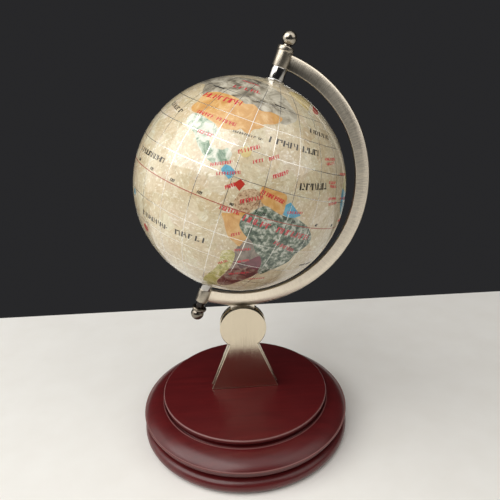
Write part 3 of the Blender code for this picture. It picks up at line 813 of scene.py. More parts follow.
def smooth_loop(points, steps=3):
    """A closed curve through the points."""
    result = []
    count = len(points)
    for index in range(count):
        a, b, c, d = (Vector(points[(index + shift) % count]) for shift in (-1, 0, 1, 2))
        for step in range(steps):
            t = step / steps
            result.append(0.5 * ((2 * b) + (c - a) * t + (2 * a - 5 * b + 4 * c - d) * t * t
                                 + (3 * b - a - 3 * c + d) * t ** 3))
    return result


def add_stone(work, outline, top, bottom=GLOBE_RADIUS - 0.4, spacing=0.016):
    """Adds one closed curved slab whose outline is given in longitude and latitude."""
    rays = [direction(longitude, latitude) for longitude, latitude in outline]
    middle = sum(rays, Vector()).normalized()
    across = middle.orthogonal().normalized()
    upward = middle.cross(across)
    flat = [Vector((ray.dot(across), ray.dot(upward))) / ray.dot(middle) for ray in rays]
    low = [min(point[axis] for point in flat) for axis in (0, 1)]
    high = [max(point[axis] for point in flat) for axis in (0, 1)]
    points = list(flat)
    for column in range(1, int((high[0] - low[0]) / spacing) + 1):
        for row in range(1, int((high[1] - low[1]) / spacing) + 1):
            shift = 0.5 * (column % 2)
            points.append(Vector((low[0] + (column - 0.5) * spacing,
                                  low[1] + (row - 0.5 + shift) * spacing)))
    edges = [(index, (index + 1) % len(flat)) for index in range(len(flat))]
    places, _, faces, _, _, _ = delaunay_2d_cdt(points, edges, [], 1, 0.0005)
    used = sorted({index for face in faces for index in face})
    layers = []
    for radius in (top, bottom):
        layer = {}
        for index in used:
            x, y = places[index]
            ray = (middle + across * x + upward * y).normalized()
            layer[index] = work.verts.new(ray * radius * MM)
        layers.append(layer)
    upper, lower = layers
    sides = {}
    for face in faces:
        work.faces.new([upper[index] for index in face])
        work.faces.new([lower[index] for index in reversed(face)])
        for first, second in zip(face, face[1:] + face[:1]):
            key = (min(first, second), max(first, second))
            sides[key] = None if key in sides else (first, second)
    for first, second in filter(None, sides.values()):
        work.faces.new((upper[second], upper[first], lower[first], lower[second]))


def clip(polygon, origin, normal):
    """Keeps the part of a polygon behind a line."""
    kept = []
    for first, second in zip(polygon, polygon[1:] + polygon[:1]):
        a, b = (first - origin).dot(normal), (second - origin).dot(normal)
        if a <= 0:
            kept.append(first)
        if (a < 0 < b) or (b < 0 < a):
            kept.append(first.lerp(second, a / (a - b)))
    return kept


def share_out(outline, seeds, joint=0.25):
    """Cuts a land into one country round each seed, with a fine joint between neighbours."""
    land = [Vector(point) for point in outline]
    seeds = [Vector(seed) for seed in seeds]
    shares = []
    for seed in seeds:
        share = land
        for other in seeds:
            if other is not seed and share:
                normal = (other - seed).normalized()
                share = clip(share, (seed + other) / 2 - normal * joint / 2, normal)
        shares.append(share)
    return shares


def on_globe(points):
    """Places on a usual map, squeezed to this globe's spacing of parallels."""
    return [(longitude, latitude * MAP_SQUEEZE) for longitude, latitude in points]


# Lands on the side that faces the front, each with its stone, in degrees along this globe.
FRONT_LANDS = {
    "grey_marble": [[(-168, 54), (-158, 50), (-146, 51), (-136, 46), (-130, 44), (-118, 44),
        (-105, 44), (-94, 44), (-85, 43), (-76, 44), (-71, 44), (-67, 46), (-63, 48), (-61, 52),
        (-65, 57), (-70, 62), (-82, 68), (-97, 71), (-121, 71), (-144, 65), (-165, 61)]],
    "orange_aragonite": [
        [(-131, 43), (-131, 46), (-125, 49), (-115, 50), (-105, 49.5), (-100, 48), (-94.5, 49.5),
         (-89.5, 47.5), (-86, 47.5), (-81.5, 48.5), (-76, 48), (-73, 47), (-74.5, 44.5),
         (-78.5, 42), (-84, 40.5), (-83, 39.5), (-85.5, 37.5), (-88.5, 36), (-89.5, 33.5),
         (-92, 33.5), (-95, 34.5), (-96.5, 33), (-103.5, 31.5), (-107.5, 31.5), (-113.5, 32.5),
         (-121, 33.5), (-127.5, 34), (-130, 36.5), (-129.5, 39.5)],
        [(-76.5, 11), (-75.5, 13.5), (-71.5, 13), (-67, 13), (-63.5, 12), (-63, 8), (-63, 4),
         (-65, 3.5), (-70, 5), (-75.5, 7)],
        [(-89.5, -3.5), (-86.5, -2.5), (-83, -1), (-79, 0), (-79.5, -6), (-77, -8), (-75, -10.5),
         (-76, -13.5), (-77, -16.5), (-80, -15), (-83.5, -13), (-86, -9.5), (-87.5, -6.5)]],
    "green_quartz": [[(-125, 33), (-121, 34), (-113.5, 33), (-108, 32), (-105.5, 28.5),
        (-107, 25.5), (-105.5, 22.5), (-102, 22), (-98.5, 22.5), (-97, 24), (-94, 22.5),
        (-94, 19.5), (-96, 17), (-99, 15.5), (-104.5, 16.5), (-110, 19.5), (-113, 22), (-116, 24.5),
        (-120, 26), (-124, 27.5), (-126, 30)]],
    "yellow_calcite": [[(-91, 26), (-89, 27.5), (-85.5, 26.5), (-86, 23.5), (-88.5, 22.5),
        (-91, 24)]],
    "leopard_stone": [[(-84.5, 8), (-82, 10), (-78.5, 11), (-76, 10), (-75.5, 7.5), (-73, 5.5),
        (-74.5, 3.5), (-77, 2.5), (-78.5, 0), (-81, 0), (-84.5, 1), (-86, 3), (-85.5, 5.5)]],
    "moss_agate": [[(-74.5, 4), (-71.5, 5.5), (-68, 4.5), (-64.5, 3.5), (-60, 3), (-55.5, 3.5),
        (-51, 2), (-46.5, 0), (-41.5, -4.5), (-41, -8.5), (-44, -12), (-46.5, -15.5), (-47, -19.5),
        (-50.5, -23.5), (-54, -27), (-58, -31), (-61, -29), (-62, -23.5), (-65, -19), (-68.5, -17),
        (-72, -12.5), (-76.5, -10), (-80.5, -6), (-80, -1), (-77.5, 0.5)]],
    "grey_feldspar": [[(-77.5, -16), (-76, -13), (-74, -11), (-71, -13), (-67, -17.5), (-64, -19),
        (-65.5, -22), (-70, -25.5), (-76, -26), (-78, -21)]],
    "burgundy_stone": [[(-68.5, -22), (-65, -19), (-61.5, -23.5), (-61, -29), (-64.5, -29),
        (-71, -26.5)]],
    "rhodonite": [[(-77, -26), (-70, -25.5), (-64.5, -28), (-60.5, -29), (-61, -33), (-64, -38),
        (-67, -43), (-70.5, -49), (-76, -51), (-79.5, -47), (-78, -38), (-77, -32)]],
    "olive_jade": [[(-84, -22), (-80.5, -20), (-77.5, -21), (-76.5, -27), (-77, -33), (-79, -40),
        (-80, -47), (-78, -52), (-84, -56), (-90, -52), (-89, -46), (-86.5, -40), (-84, -34),
        (-83.5, -28)]],
}

# The same for lands with sharp corners.
SHARP_LANDS = {
    "red_jasper": [[(-88.5, 10.5), (-86.3, 13.3), (-83.7, 11.8), (-85.2, 8.2)]],
    "turquoise": [
        [(-96, 14.5), (-95, 17), (-92.5, 17), (-89, 15.3), (-90.5, 12.2), (-91.5, 11.5),
         (-93, 12.5), (-95, 13)],
        [(-64, 7.5), (-60.8, 9.8), (-53.5, 5), (-56.5, 3.4), (-60, 2.9), (-64, 4)]],
}

# The other lands as rough outlines in longitude and latitude, with a seed for each country.
FAR_LANDS = {
    "africa": ([(-22, 15), (-21, 22), (-15, 30), (-7, 35), (10, 37), (11, 33), (20, 31), (32, 31),
        (37, 22), (43, 12), (51, 12), (47, 4), (40, -3), (40, -15), (35, -20), (34, -26), (28, -33),
        (20, -35), (16, -29), (12, -17), (13, -8), (9, 0), (8, 4), (-4, 5), (-10, 5), (-18, 9)],
        [(-9, 27), (3, 28), (16, 28), (28, 27), (-12, 13), (-2, 13), (9, 11), (19, 15), (31, 16),
        (40, 8), (44, 6), (20, 5), (13, 2), (24, -3), (36, 0), (34, -8), (17, -12), (28, -14),
        (17, -23), (25, -23), (36, -16), (24, -31)]),
    "europe": ([(-9, 37), (-9, 43), (-1, 44), (-4, 48), (3, 51), (9, 54), (20, 54), (23, 59),
        (30, 60), (36, 66), (45, 67), (56, 68), (60, 60), (51, 50), (48, 42), (38, 45), (30, 46),
        (28, 41), (23, 37), (19, 42), (13, 45), (17, 40), (15, 38), (10, 44), (3, 43), (-1, 37)],
        [(-5, 40), (2, 47), (10, 50), (19, 51), (13, 43), (22, 43), (27, 47), (30, 55), (42, 62),
        (50, 55), (45, 47)]),
    "scandinavia": ([(5, 59), (5, 62), (13, 67), (25, 71), (30, 69), (28, 62), (22, 61), (21, 64),
        (17, 61), (16, 56), (12, 56), (9, 58)], [(8, 61), (15, 62), (26, 65)]),
    "britain": ([(-5, 50), (1, 51), (0, 53), (-2, 56), (-3, 58), (-6, 57), (-4, 54), (-5, 52)],
        [(-2, 54)]),
    "iceland": ([(-36, 66), (-30, 66), (-21, 69), (-18, 73), (-25, 73), (-34, 69)], [(-27, 69)]),
    "greenland": ([(-46, 66), (-40, 70), (-26, 75), (-20, 78), (-25, 82), (-45, 83), (-58, 81),
        (-62, 78), (-54, 73)], [(-42, 76)]),
    "asia": ([(60, 60), (60, 69), (75, 73), (105, 77), (140, 73), (170, 70), (179, 67), (177, 62),
        (163, 59), (157, 51), (154, 59), (140, 54), (134, 44), (129, 41), (129, 35), (126, 36),
        (121, 40), (118, 38), (122, 31), (117, 23), (108, 21), (109, 12), (105, 9), (101, 14),
        (104, 2), (100, 5), (98, 16), (91, 22), (87, 21), (80, 15), (78, 8), (73, 17), (68, 24),
        (57, 26), (51, 29), (48, 30), (51, 25), (59, 22), (52, 16), (44, 13), (40, 20), (35, 28),
        (36, 36), (27, 37), (28, 41), (41, 42), (50, 38), (53, 45), (48, 49), (53, 54)], [(70, 65),
        (92, 66), (115, 66), (140, 64), (165, 66), (67, 49), (103, 47), (85, 42), (100, 34),
        (115, 30), (122, 44), (128, 37), (65, 38), (53, 33), (44, 34), (34, 39), (46, 24), (46, 16),
        (69, 30), (79, 26), (78, 16), (92, 25), (97, 20), (102, 14), (106, 16), (103, 4)]),
    "japan": ([(130, 32), (135, 34), (140, 35), (142, 40), (141, 44), (139, 39), (133, 35)],
        [(137, 37)]),
    "sumatra": ([(95, 5), (100, 2), (106, -5), (103, -5), (98, 1)], [(100, 0)]),
    "borneo": ([(109, 1), (113, 4), (117, 7), (118, 1), (115, -4), (110, -3)], [(114, 4),
        (113, -2)]),
    "philippines": ([(120, 18), (123, 14), (126, 7), (122, 8), (120, 13)], [(122, 13)]),
    "new_guinea": ([(131, -1), (138, -2), (147, -6), (150, -10), (143, -9), (138, -8), (133, -4)],
        [(135, -4), (146, -7)]),
    "australia": ([(114, -22), (122, -18), (130, -12), (136, -12), (140, -17), (142, -11),
        (146, -19), (153, -27), (150, -37), (144, -39), (138, -35), (131, -32), (124, -33),
        (115, -34)], [(133, -25)]),
    "tasmania": ([(145, -41), (148, -41), (147, -44)], [(147, -42)]),
    "new_zealand": ([(173, -35), (178, -38), (172, -44), (167, -46), (171, -41)], [(175, -38),
        (169, -45)]),
    "madagascar": ([(44, -17), (50, -15), (47, -25), (44, -24)], [(47, -20)]),
    "ceylon": ([(80, 9), (82, 7), (80, 6)], [(80, 7)]),
    "hawaii": ([(-157, 21), (-155, 20), (-156, 19)], [(-156, 20)]),
    "polynesia": ([(-150, -16), (-147, -16), (-147, -19), (-150, -19)], [(-148, -17)]),
    "pacific_isle": ([(-138, -33), (-134, -33), (-134, -37), (-138, -37)], [(-136, -35)]),
}

# Colour stops, scale, warp and flecks of each stone.
STONES = {
    "grey_marble": ([(0.32, (0.085, 0.075, 0.055)), (0.41, (0.25, 0.22, 0.165)),
        (0.49, (0.44, 0.4, 0.31)), (0.58, (0.63, 0.59, 0.48))], 85.0, 1.2),
    "orange_aragonite": ([(0.32, (0.57, 0.28, 0.08)), (0.5, (0.68, 0.38, 0.125)),
        (0.66, (0.8, 0.54, 0.26))], 110.0, 1.2),
    "green_quartz": ([(0.36, (0.07, 0.17, 0.08)), (0.45, (0.28, 0.39, 0.26)),
        (0.53, (0.6, 0.63, 0.52)), (0.64, (0.78, 0.76, 0.65))], 170.0, 0.8),
    "yellow_calcite": ([(0.3, (0.6, 0.44, 0.15)), (0.7, (0.8, 0.68, 0.36))], 120.0, 1.5),
    "turquoise": ([(0.3, (0.07, 0.32, 0.48)), (0.7, (0.17, 0.48, 0.64))], 110.0, 1.5,
        (0.05, 0.12, 0.16), 700.0, 0.3),
    "red_jasper": ([(0.3, (0.36, 0.018, 0.012)), (0.7, (0.58, 0.055, 0.03))], 150.0, 2.0),
    "leopard_stone": ([(0.36, (0.13, 0.05, 0.028)), (0.43, (0.38, 0.22, 0.12)),
        (0.5, (0.56, 0.4, 0.25)), (0.66, (0.7, 0.55, 0.37))], 640.0, 0.4),
    "moss_agate": ([(0.38, (0.02, 0.045, 0.026)), (0.46, (0.085, 0.13, 0.085)),
        (0.53, (0.24, 0.28, 0.21)), (0.62, (0.6, 0.61, 0.53))], 330.0, 0.3),
    "grey_feldspar": ([(0.36, (0.12, 0.095, 0.075)), (0.5, (0.24, 0.195, 0.155)),
        (0.64, (0.36, 0.3, 0.24))], 150.0, 1.0),
    "burgundy_stone": ([(0.3, (0.1, 0.012, 0.025)), (0.7, (0.2, 0.034, 0.055))], 120.0, 1.5),
    "rhodonite": ([(0.4, (0.075, 0.016, 0.016)), (0.49, (0.18, 0.055, 0.045)),
        (0.55, (0.24, 0.15, 0.115)), (0.68, (0.4, 0.33, 0.27))], 190.0, 0.8),
    "olive_jade": ([(0.34, (0.29, 0.27, 0.065)), (0.48, (0.54, 0.49, 0.16)),
        (0.6, (0.74, 0.68, 0.44))], 170.0, 1.0, (0.2, 0.22, 0.06), 900.0, 0.5),
    "lapis": ([(0.3, (0.01, 0.03, 0.15)), (0.7, (0.03, 0.1, 0.36))], 130.0, 1.5, (0.6, 0.42, 0.12),
        500.0, 0.6),
    "rose_quartz": ([(0.3, (0.52, 0.25, 0.22)), (0.7, (0.72, 0.48, 0.42))], 90.0, 1.5),
    "white_howlite": ([(0.36, (0.34, 0.33, 0.31)), (0.46, (0.66, 0.65, 0.61)),
        (0.7, (0.78, 0.77, 0.73))], 70.0, 3.0),
}

# Stones of the far lands' countries, dealt out in turn.
FAR_STONES = ["olive_jade", "orange_aragonite", "lapis", "burgundy_stone", "leopard_stone",
    "green_quartz", "white_howlite", "turquoise", "red_jasper", "rose_quartz", "moss_agate",
    "yellow_calcite", "grey_feldspar"]
ONE_STONE_LANDS = {"greenland": "yellow_calcite", "iceland": "red_jasper",
                   "australia": "rose_quartz", "polynesia": "turquoise",
                   "pacific_isle": "red_jasper"}


def antarctica_sectors(count=6, steps=5):
    """The southern land in sectors round the pole, with a wavering coast."""
    sectors = []
    for index in range(count):
        stations = [360 / count * index + 360 / count * step / steps for step in range(steps + 1)]
        coast = [(angle, -70 - 3.0 * math.sin(math.radians(3 * angle))
                  - 1.5 * math.sin(math.radians(7 * angle))) for angle in stations]
        inner = [(angle, -84.0) for angle in reversed(stations)]
        sectors.append(coast + inner)
    return sectors


def collect_lands():
    """Every stone's outlines, in degrees along the globe."""
    lands = {name: [] for name in STONES}
    for name, outlines in FRONT_LANDS.items():
        lands[name] += [smooth_loop(outline) for outline in outlines]
    for name, outlines in SHARP_LANDS.items():
        lands[name] += outlines
    turn = 0
    for land, (outline, seeds) in FAR_LANDS.items():
        for share in share_out(smooth_loop(on_globe(outline), 2), on_globe(seeds)):
            name = ONE_STONE_LANDS.get(land) or FAR_STONES[turn % len(FAR_STONES)]
            turn += 5
            if len(share) > 2:
                lands[name].append(share)
    lands["white_howlite"] += antarctica_sectors()
    return lands


def even_steps(outline, shortest=0.15, longest=0.9):
    """Drops points that nearly coincide and divides long edges, so that they follow the globe."""
    kept = []
    for point in map(Vector, outline):
        if not kept or (point - kept[-1]).length > shortest:
            kept.append(point)
    if (kept[0] - kept[-1]).length <= shortest:
        kept.pop()
    result = []
    for first, second in zip(kept, kept[1:] + kept[:1]):
        parts = max(1, math.ceil((second - first).length / longest))
        result += [first.lerp(second, part / parts) for part in range(parts)]
    return result


def make_lands():
    """One piece for each kind of stone, at one of four heights, so that none coincide."""
    for level, (name, outlines) in enumerate(collect_lands().items()):
        work = bmesh.new()
        top = GLOBE_RADIUS + STONE_PROUD + STONE_STEP * (level % 4)
        for outline in outlines:
            add_stone(work, even_steps(outline), top)
        globe_piece("inlay_" + name, work, stone(name, *STONES[name]))


def add_band(work, rays, width, proud, closed):
    """Adds a fine band with a slight crown that follows rays from the globe's centre."""
    count = len(rays)
    sections = []
    for index, ray in enumerate(rays):
        before = rays[index - 1] if closed or index else ray
        after = rays[(index + 1) % count] if closed or index < count - 1 else ray
        side = ray.cross(after - before).normalized() * width / 2
        top, shoulder, bottom = (ray * (GLOBE_RADIUS + rise)
                                 for rise in (proud, proud - WIRE_CROWN, -0.3))
        corners = [shoulder + side, top, shoulder - side, bottom - side, bottom + side]
        sections.append([work.verts.new(corner * MM) for corner in corners])
    pairs = list(zip(sections, sections[1:]))
    if closed:
        pairs.append((sections[-1], sections[0]))
    for first, second in pairs:
        for index in range(5):
            following = (index + 1) % 5
            work.faces.new((first[index], first[following], second[following], second[index]))
    if not closed:
        work.faces.new(sections[0][::-1])
        work.faces.new(sections[-1])


def band_piece(name, lines, width, proud, closed, material):
    """One piece of bands that share their section."""
    work = bmesh.new()
    for rays in lines:
        add_band(work, rays, width, proud, closed)
    globe_piece(name, work, material)


def make_grid(material):
    """Wires along the meridians and parallels."""
    meridians = [[direction(GRID_STEP * index, -WIRE_END + 2 * WIRE_END * step / 90)
                  for step in range(91)] for index in range(MERIDIANS)]
    parallels = [[direction(2 * step, PARALLEL_STEP * index) for step in range(180)]
                 for index in range(-6, 7) if index]
    band_piece("grid_meridian_wires", meridians, WIRE_WIDTH, MERIDIAN_PROUD, False, material)
    band_piece("grid_parallel_wires", parallels, WIRE_WIDTH, PARALLEL_PROUD, True, material)


def make_equator(material):
    rays = [direction(1.5 * step, 0.0) for step in range(240)]
    band_piece("equator_line", [rays], EQUATOR_WIDTH, EQUATOR_PROUD, True, material)


# ---- marks that stand for the names on the map: rows of plain ticks, which spell nothing

# start and end in longitude and latitude, height in millimetres, and ticks in each group
RED_ROWS = [((-120, 56), (-93, 58.4), 3.0, (5,)), ((-131, 43.5), (-102, 45.8), 4.0, (7,)),
    ((-123, 34), (-98, 34.4), 2.4, (6, 6)), ((-115, 25.5), (-106, 25.9), 2.1, (6,)),
    ((-91, 23.2), (-82, 28.8), 2.2, (7,)), ((-101, 13.9), (-92, 18.4), 1.8, (9,)),
    ((-97, 11.2), (-87, 15.3), 1.8, (9,)), ((-83, 21.1), (-78, 23.9), 2.0, (4,)),
    ((-76, 24.6), (-71, 27.6), 2.0, (5,)), ((-72, 17.7), (-65, 21.9), 2.2, (7,)),
    ((-91, 6.9), (-87, 10), 2.2, (5,)), ((-83, 3.2), (-74, 8.1), 2.3, (8,)),
    ((-76, 10), (-64, 8.2), 2.5, (9,)), ((-91, -2.1), (-82, -1.9), 2.3, (7,)),
    ((-61, 4.6), (-53, 5.7), 1.6, (6,)), ((-80, -3.6), (-44, -6.4), 3.6, (5, 7)),
    ((-62, -10.8), (-49, -13.8), 2.5, (6,)), ((-82, -12.7), (-78, -10.1), 1.9, (4,)),
    ((-78, -19.9), (-71, -16.9), 1.8, (7,)), ((-83, -30.8), (-79, -27.1), 1.8, (5,)),
    ((-74, -26.1), (-69, -23.2), 1.7, (8,)), ((-75, -36.6), (-65, -31.7), 1.8, (9,)),
    ((-62, -37.6), (-52, -34.1), 1.6, (8,)), ((-123, 64.4), (-100, 64.6), 1.6, (8,)),
    ((-41, 32.3), (-30, 33.5), 1.7, (7,)), ((-40, 30.1), (-31, 31.7), 1.7, (6,)),
    ((-38, 21.6), (-31, 22.1), 1.7, (5,)), ((-37, 20), (-31, 20.1), 1.7, (5,)),
    ((-37, 14.1), (-29, 14.6), 1.7, (6,)), ((-36, 11.6), (-28, 12.5), 1.7, (6,)),
    ((-25, 26.5), (-12, 26.3), 1.7, (7,)), ((-24, 14.6), (-12, 14.2), 1.7, (7,)),
    ((-18, 2.6), (-8, 2.3), 1.7, (6,)), ((0, 22), (30, 24), 3.6, (6,)),
    ((60, 52), (125, 53), 4.0, (4,)), ((10, 44), (40, 45), 3.2, (6,)),
    ((122, -21), (146, -22), 3.6, (9,)), ((85, 29), (105, 30), 2.4, (5,)),
    ((72, 18), (84, 18), 2.4, (5,))]
BLACK_ROWS = [((-79, 32.9), (-47, 33.5), 3.7, (8,)), ((-58, 16), (-40, 19), 4.0, (5,)),
    ((-52, 44.6), (-31, 43.5), 3.1, (5,)), ((-136, -23.1), (-114, -23.2), 3.4, (7,)),
    ((-110, -22.9), (-91, -20.8), 3.6, (5,)), ((-151, 32.5), (-133, 30.1), 3.0, (5,)),
    ((-149, 5.5), (-125, 6.4), 3.2, (9,)), ((-98, 31.7), (-82, 32.5), 1.3, (10, 2)),
    ((-35, -23.2), (-23, -22.6), 1.6, (5, 5)), ((65, -12), (90, -12), 3.6, (6, 5)),
    ((-180, 24), (-160, 24), 3.6, (7,)), ((-20, -34), (8, -35), 3.6, (8,)),
    ((100, -50), (135, -50), 3.2, (8, 5)), ((150, 20), (172, 20), 3.6, (7,))]
BLACK_DASHES = [((-135, 52.2), (-123, 52.7), 0.9), ((-80, 54.4), (-71, 54.1), 0.9)]


def add_tick(work, origin, east, north, foot, head, thickness):
    """Adds a small flat stroke between two places, in millimetres east and north of the origin."""
    start = Vector(foot)
    end = Vector(head)
    side = (end - start).orthogonal().normalized() * thickness / 2
    layers = []
    for radius in (GLOBE_RADIUS + MARK_PROUD, GLOBE_RADIUS - 0.1):
        layer = []
        for corner in (start - side, start + side, end + side, end - side):
            place = origin * GLOBE_RADIUS + east * corner.x + north * corner.y
            layer.append(work.verts.new(place.normalized() * radius * MM))
        layers.append(layer)
    upper, lower = layers
    work.faces.new(upper)
    work.faces.new(lower[::-1])
    for index in range(4):
        following = (index + 1) % 4
        work.faces.new((upper[following], upper[index], lower[index], lower[following]))


def between(start, end, share):
    """A place part of the way between two places on the map."""
    return [first + (second - first) * share for first, second in zip(start, end)]


def add_row(work, dice, start, end, height, groups, weight):
    """Adds a row of tick groups that reads as small print from a distance but spells nothing."""
    total = sum(groups) + len(groups) - 1
    starts = [sum(groups[:index]) + index for index in range(len(groups))]
    for cell in [first + step for first, length in zip(starts, groups) for step in range(length)]:
        place = between(start, end, (cell + 0.5) / total)
        origin = direction(*place)
        ahead = [part + (last - first) * 0.01 for part, first, last in zip(place, start, end)]
        east = direction(*ahead) - origin
        span = east.length * 100 * GLOBE_RADIUS / total
        east.normalize()
        north = origin.cross(east)
        half = min(0.36 * span, 0.40 * height)
        thin = 0.6 * weight * height
        lean = dice.choice((-0.5, 0.0, 0.4)) * half
        add_tick(work, origin, east, north, (-half, 0.0), (-half + 0.12 * height, height),
                 weight * height)
        if dice.random() < 0.75:
            foot = dice.choice((0.0, 0.0, 0.45)) * height
            add_tick(work, origin, east, north, (half, foot), (half + lean, height), thin)
        if dice.random() < 0.6:
            level = dice.choice((0.12, 0.5, 0.88)) * height
            add_tick(work, origin, east, north, (-0.2 * half, level), (0.7 * half, level), thin)


def rows_piece(name, rows, dashes, weight, material, seed):
    """One piece of tick rows and plain dashes."""
    dice = random.Random(seed)
    work = bmesh.new()
    for start, end, height, groups in rows:
        add_row(work, dice, start, end, height, groups, weight)
    for start, end, height in dashes:
        rays = [direction(*between(start, end, step / 8)) for step in range(9)]
        add_band(work, rays, height, MARK_PROUD, False)
    globe_piece(name, work, material, smooth=False)


def number_mesh(number):
    """The figures of a number, slightly raised, about their own foot."""
    curve = bpy.data.curves.new("number", "FONT")
    curve.body = str(number)
    curve.align_x = "CENTER"
    curve.size = 2.4 * MM
    curve.shear = 0.3
    curve.resolution_u = 3
    curve.extrude = 0.09 * MM
    curve.offset = 0.07 * MM
    holder = bpy.data.objects.new("number", curve)
    bpy.context.scene.collection.objects.link(holder)
    graph = bpy.context.evaluated_depsgraph_get()
    mesh = bpy.data.meshes.new_from_object(holder.evaluated_get(graph))
    bpy.data.objects.remove(holder, do_unlink=True)
    return mesh


def make_degree_numbers(material):
    """Small numbers of degrees beside each meridian's crossing of the equator, as on a dial."""
    work = bmesh.new()
    for index in range(MERIDIANS):
        longitude = GRID_STEP * index - 180
        mesh = number_mesh(int(abs(longitude)))
        origin = direction(longitude + 3.2, 1.0)
        north = (direction(longitude + 3.2, 2.0) - origin).normalized()
        east = north.cross(origin)
        for vertex in mesh.vertices:
            place = origin * GLOBE_RADIUS * MM + east * vertex.co.x + north * vertex.co.y
            vertex.co = place.normalized() * (GLOBE_RADIUS * MM + vertex.co.z)
        work.from_mesh(mesh)
        bpy.data.meshes.remove(mesh)
    bmesh.ops.remove_doubles(work, verts=work.verts, dist=1e-7)
    mesh = bpy.data.meshes.new("degree_numbers")
    work.to_mesh(mesh)
    work.free()
    new_piece("degree_numbers", mesh, material, AXIS, "globe")


def make_globe():
    make_sea(mother_of_pearl())
    make_lands()
    make_grid(wire_metal())
    make_equator(enamel("equator_enamel", (0.36, 0.026, 0.016), (0.46, 0.08, 0.05)))
    black = enamel("black_print", (0.012, 0.010, 0.009), (0.05, 0.04, 0.035))
    red = enamel("red_print", (0.62, 0.012, 0.035), (0.66, 0.06, 0.08))
    rows_piece("red_marks", RED_ROWS, [], 0.25, red, 7)
    rows_piece("black_marks", BLACK_ROWS, BLACK_DASHES, 0.28, black, 11)
    make_degree_numbers(black)


# ---- inner parts, which keep their CAD solids


def finish_inner_parts(zinc):
    """Gives every carried-over CAD node its own look."""
    resin = moulded("cast_resin_body", (0.52, 0.47, 0.38), (0.66, 0.61, 0.50), 0.6)
    nylon = moulded("white_nylon", (0.68, 0.68, 0.63), (0.80, 0.80, 0.76), 0.45)
    fibre = moulded("friction_fibre", (0.07, 0.030, 0.018), (0.14, 0.065, 0.040), 0.8)
    looks = ((felt(), ("felt_pad",)),
             (zinc, ("spacer_block", "pivot_pin", "base_screw_left", "base_screw_right",
                     "base_washer_left", "base_washer_right")),
             (fibre, ("front_friction_washer", "rear_friction_washer")),
             (resin, ("globe_core_north", "globe_core_south", "core_joiner_ring")),
             (nylon, ("north_bush", "south_bush")))
    for material, names in looks:
        for name in names:
            mesh = frame["nodes"][name].data
            mesh.materials.clear()
            mesh.materials.append(material)


# ---- stage


def make_camera():
    """The photograph's viewing angle: in front, a little to the left, looking down on the globe."""
    yaw, pitch, roll = (math.radians(angle) for angle in (-3.27, -19.645, -1.637))
    forward = Vector((-math.sin(yaw) * math.cos(pitch), math.cos(yaw) * math.cos(pitch),
                      math.sin(pitch)))
    level = Vector((math.cos(yaw), math.sin(yaw), 0.0))
    upward = level.cross(forward)
    right = level * math.cos(roll) + upward * math.sin(roll)
    top = upward * math.cos(roll) - level * math.sin(roll)
    data = bpy.data.cameras.new("view")
    data.sensor_width = 36.0
    data.lens = 33.8
    data.clip_start = 0.01
    camera = bpy.data.objects.new("view", data)
    matrix = Matrix((right, top, -forward)).transposed().to_4x4()
    matrix.translation = (-0.0116, -0.3339, 0.2716)
    camera.matrix_world = matrix
    bpy.context.scene.collection.objects.link(camera)
    bpy.context.scene.camera = camera


def make_light(name, azimuth, elevation, distance, size, power, colour):
    """A soft area light that faces the globe. Azimuth 0 is in front, positive towards +X."""
    data = bpy.data.lights.new(name, "AREA")
    data.shape = "RECTANGLE"
    data.size, data.size_y = size
    data.energy = power
    data.color = colour
    light = bpy.data.objects.new(name, data)
    around, rise = math.radians(azimuth), math.radians(elevation)
    away = Vector((math.sin(around) * math.cos(rise), -math.cos(around) * math.cos(rise),
                   math.sin(rise)))
    light.location = GLOBE_CENTRE + away * distance
    light.rotation_mode = "QUATERNION"
    light.rotation_quaternion = away.to_track_quat("Z", "Y")
    bpy.context.scene.collection.objects.link(light)


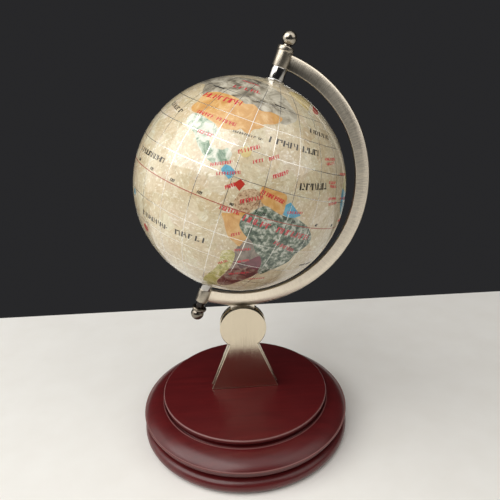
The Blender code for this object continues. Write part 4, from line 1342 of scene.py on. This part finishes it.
# azimuth and elevation in degrees, distance and size in metres, power and colour
LIGHTS = {"window_key": (-58, 46, 1.35, (1.60, 1.15), 20.5, (1.0, 0.985, 0.955)),
          "left_fill": (-90, 15, 1.5, (1.4, 1.0), 6.0, (1.0, 0.975, 0.93)),
          "right_fill": (60, 35, 1.6, (1.3, 1.3), 7.0, (1.0, 0.96, 0.91)),
          "top_fill": (15, 72, 1.5, (1.4, 1.4), 7.0, (1.0, 0.98, 0.95))}


def make_floor():
    """A plain pale floor, whose far edge is the horizon of the picture."""
    mesh = bpy.data.meshes.new("floor")
    reach, near_edge, far_edge = 3.0, -0.70, 0.215
    mesh.from_pydata([(-reach, near_edge, 0), (reach, near_edge, 0),
                      (reach, far_edge, 0), (-reach, far_edge, 0)], [], [(0, 1, 2, 3)])
    floor = bpy.data.objects.new("floor", mesh)
    bpy.context.scene.collection.objects.link(floor)
    material, tree, shader = new_material("pale_floor", Roughness=0.6)
    weave = noise(tree, local_position(tree), 30.0, 3.0)
    finish_shader(tree, shader, ramp(tree, weave, [(0.3, (0.84, 0.825, 0.79)),
                                                   (0.7, (0.87, 0.86, 0.83))]))
    mesh.materials.append(material)


def make_stage():
    make_floor()
    world = bpy.data.worlds.new("studio")
    bpy.context.scene.world = world
    world.use_nodes = True
    background = world.node_tree.nodes["Background"]
    background.inputs["Color"].default_value = (0.021, 0.021, 0.0225, 1.0)
    for name, settings in LIGHTS.items():
        make_light(name, *settings)
    bpy.context.scene.view_settings.view_transform = "Standard"


NICKEL = (0.76, 0.67, 0.52)
ARM_NICKEL = (0.97, 0.885, 0.74)
FITTING_NICKEL = (0.50, 0.45, 0.37)
make_camera()
make_stage()
make_base(cherry_wood())
make_pedestal(brushed_metal("nickel_brushed_upright", NICKEL, upright_grain, 0.15, 0.35))
make_arm(brushed_metal("nickel_brushed_arm", ARM_NICKEL, radial_grain, 0.40, 1.4))
zinc = zinc_steel("zinc_plate")
make_rear_screws(zinc)
make_fittings(brushed_metal("nickel_turned", FITTING_NICKEL, turned_grain, 0.30),
              polished_metal("chrome", (0.50, 0.485, 0.46), 0.12),
              polished_metal("dark_rod", (0.045, 0.040, 0.038), 0.16),
              polished_metal("finial_nickel", (0.44, 0.40, 0.33), 0.21),
              # a darker copy of the finial nickel for the bottom finial: painted shade
              polished_metal("tarnished_nickel", (0.24, 0.21, 0.175), 0.20))
make_globe()
finish_inner_parts(zinc)
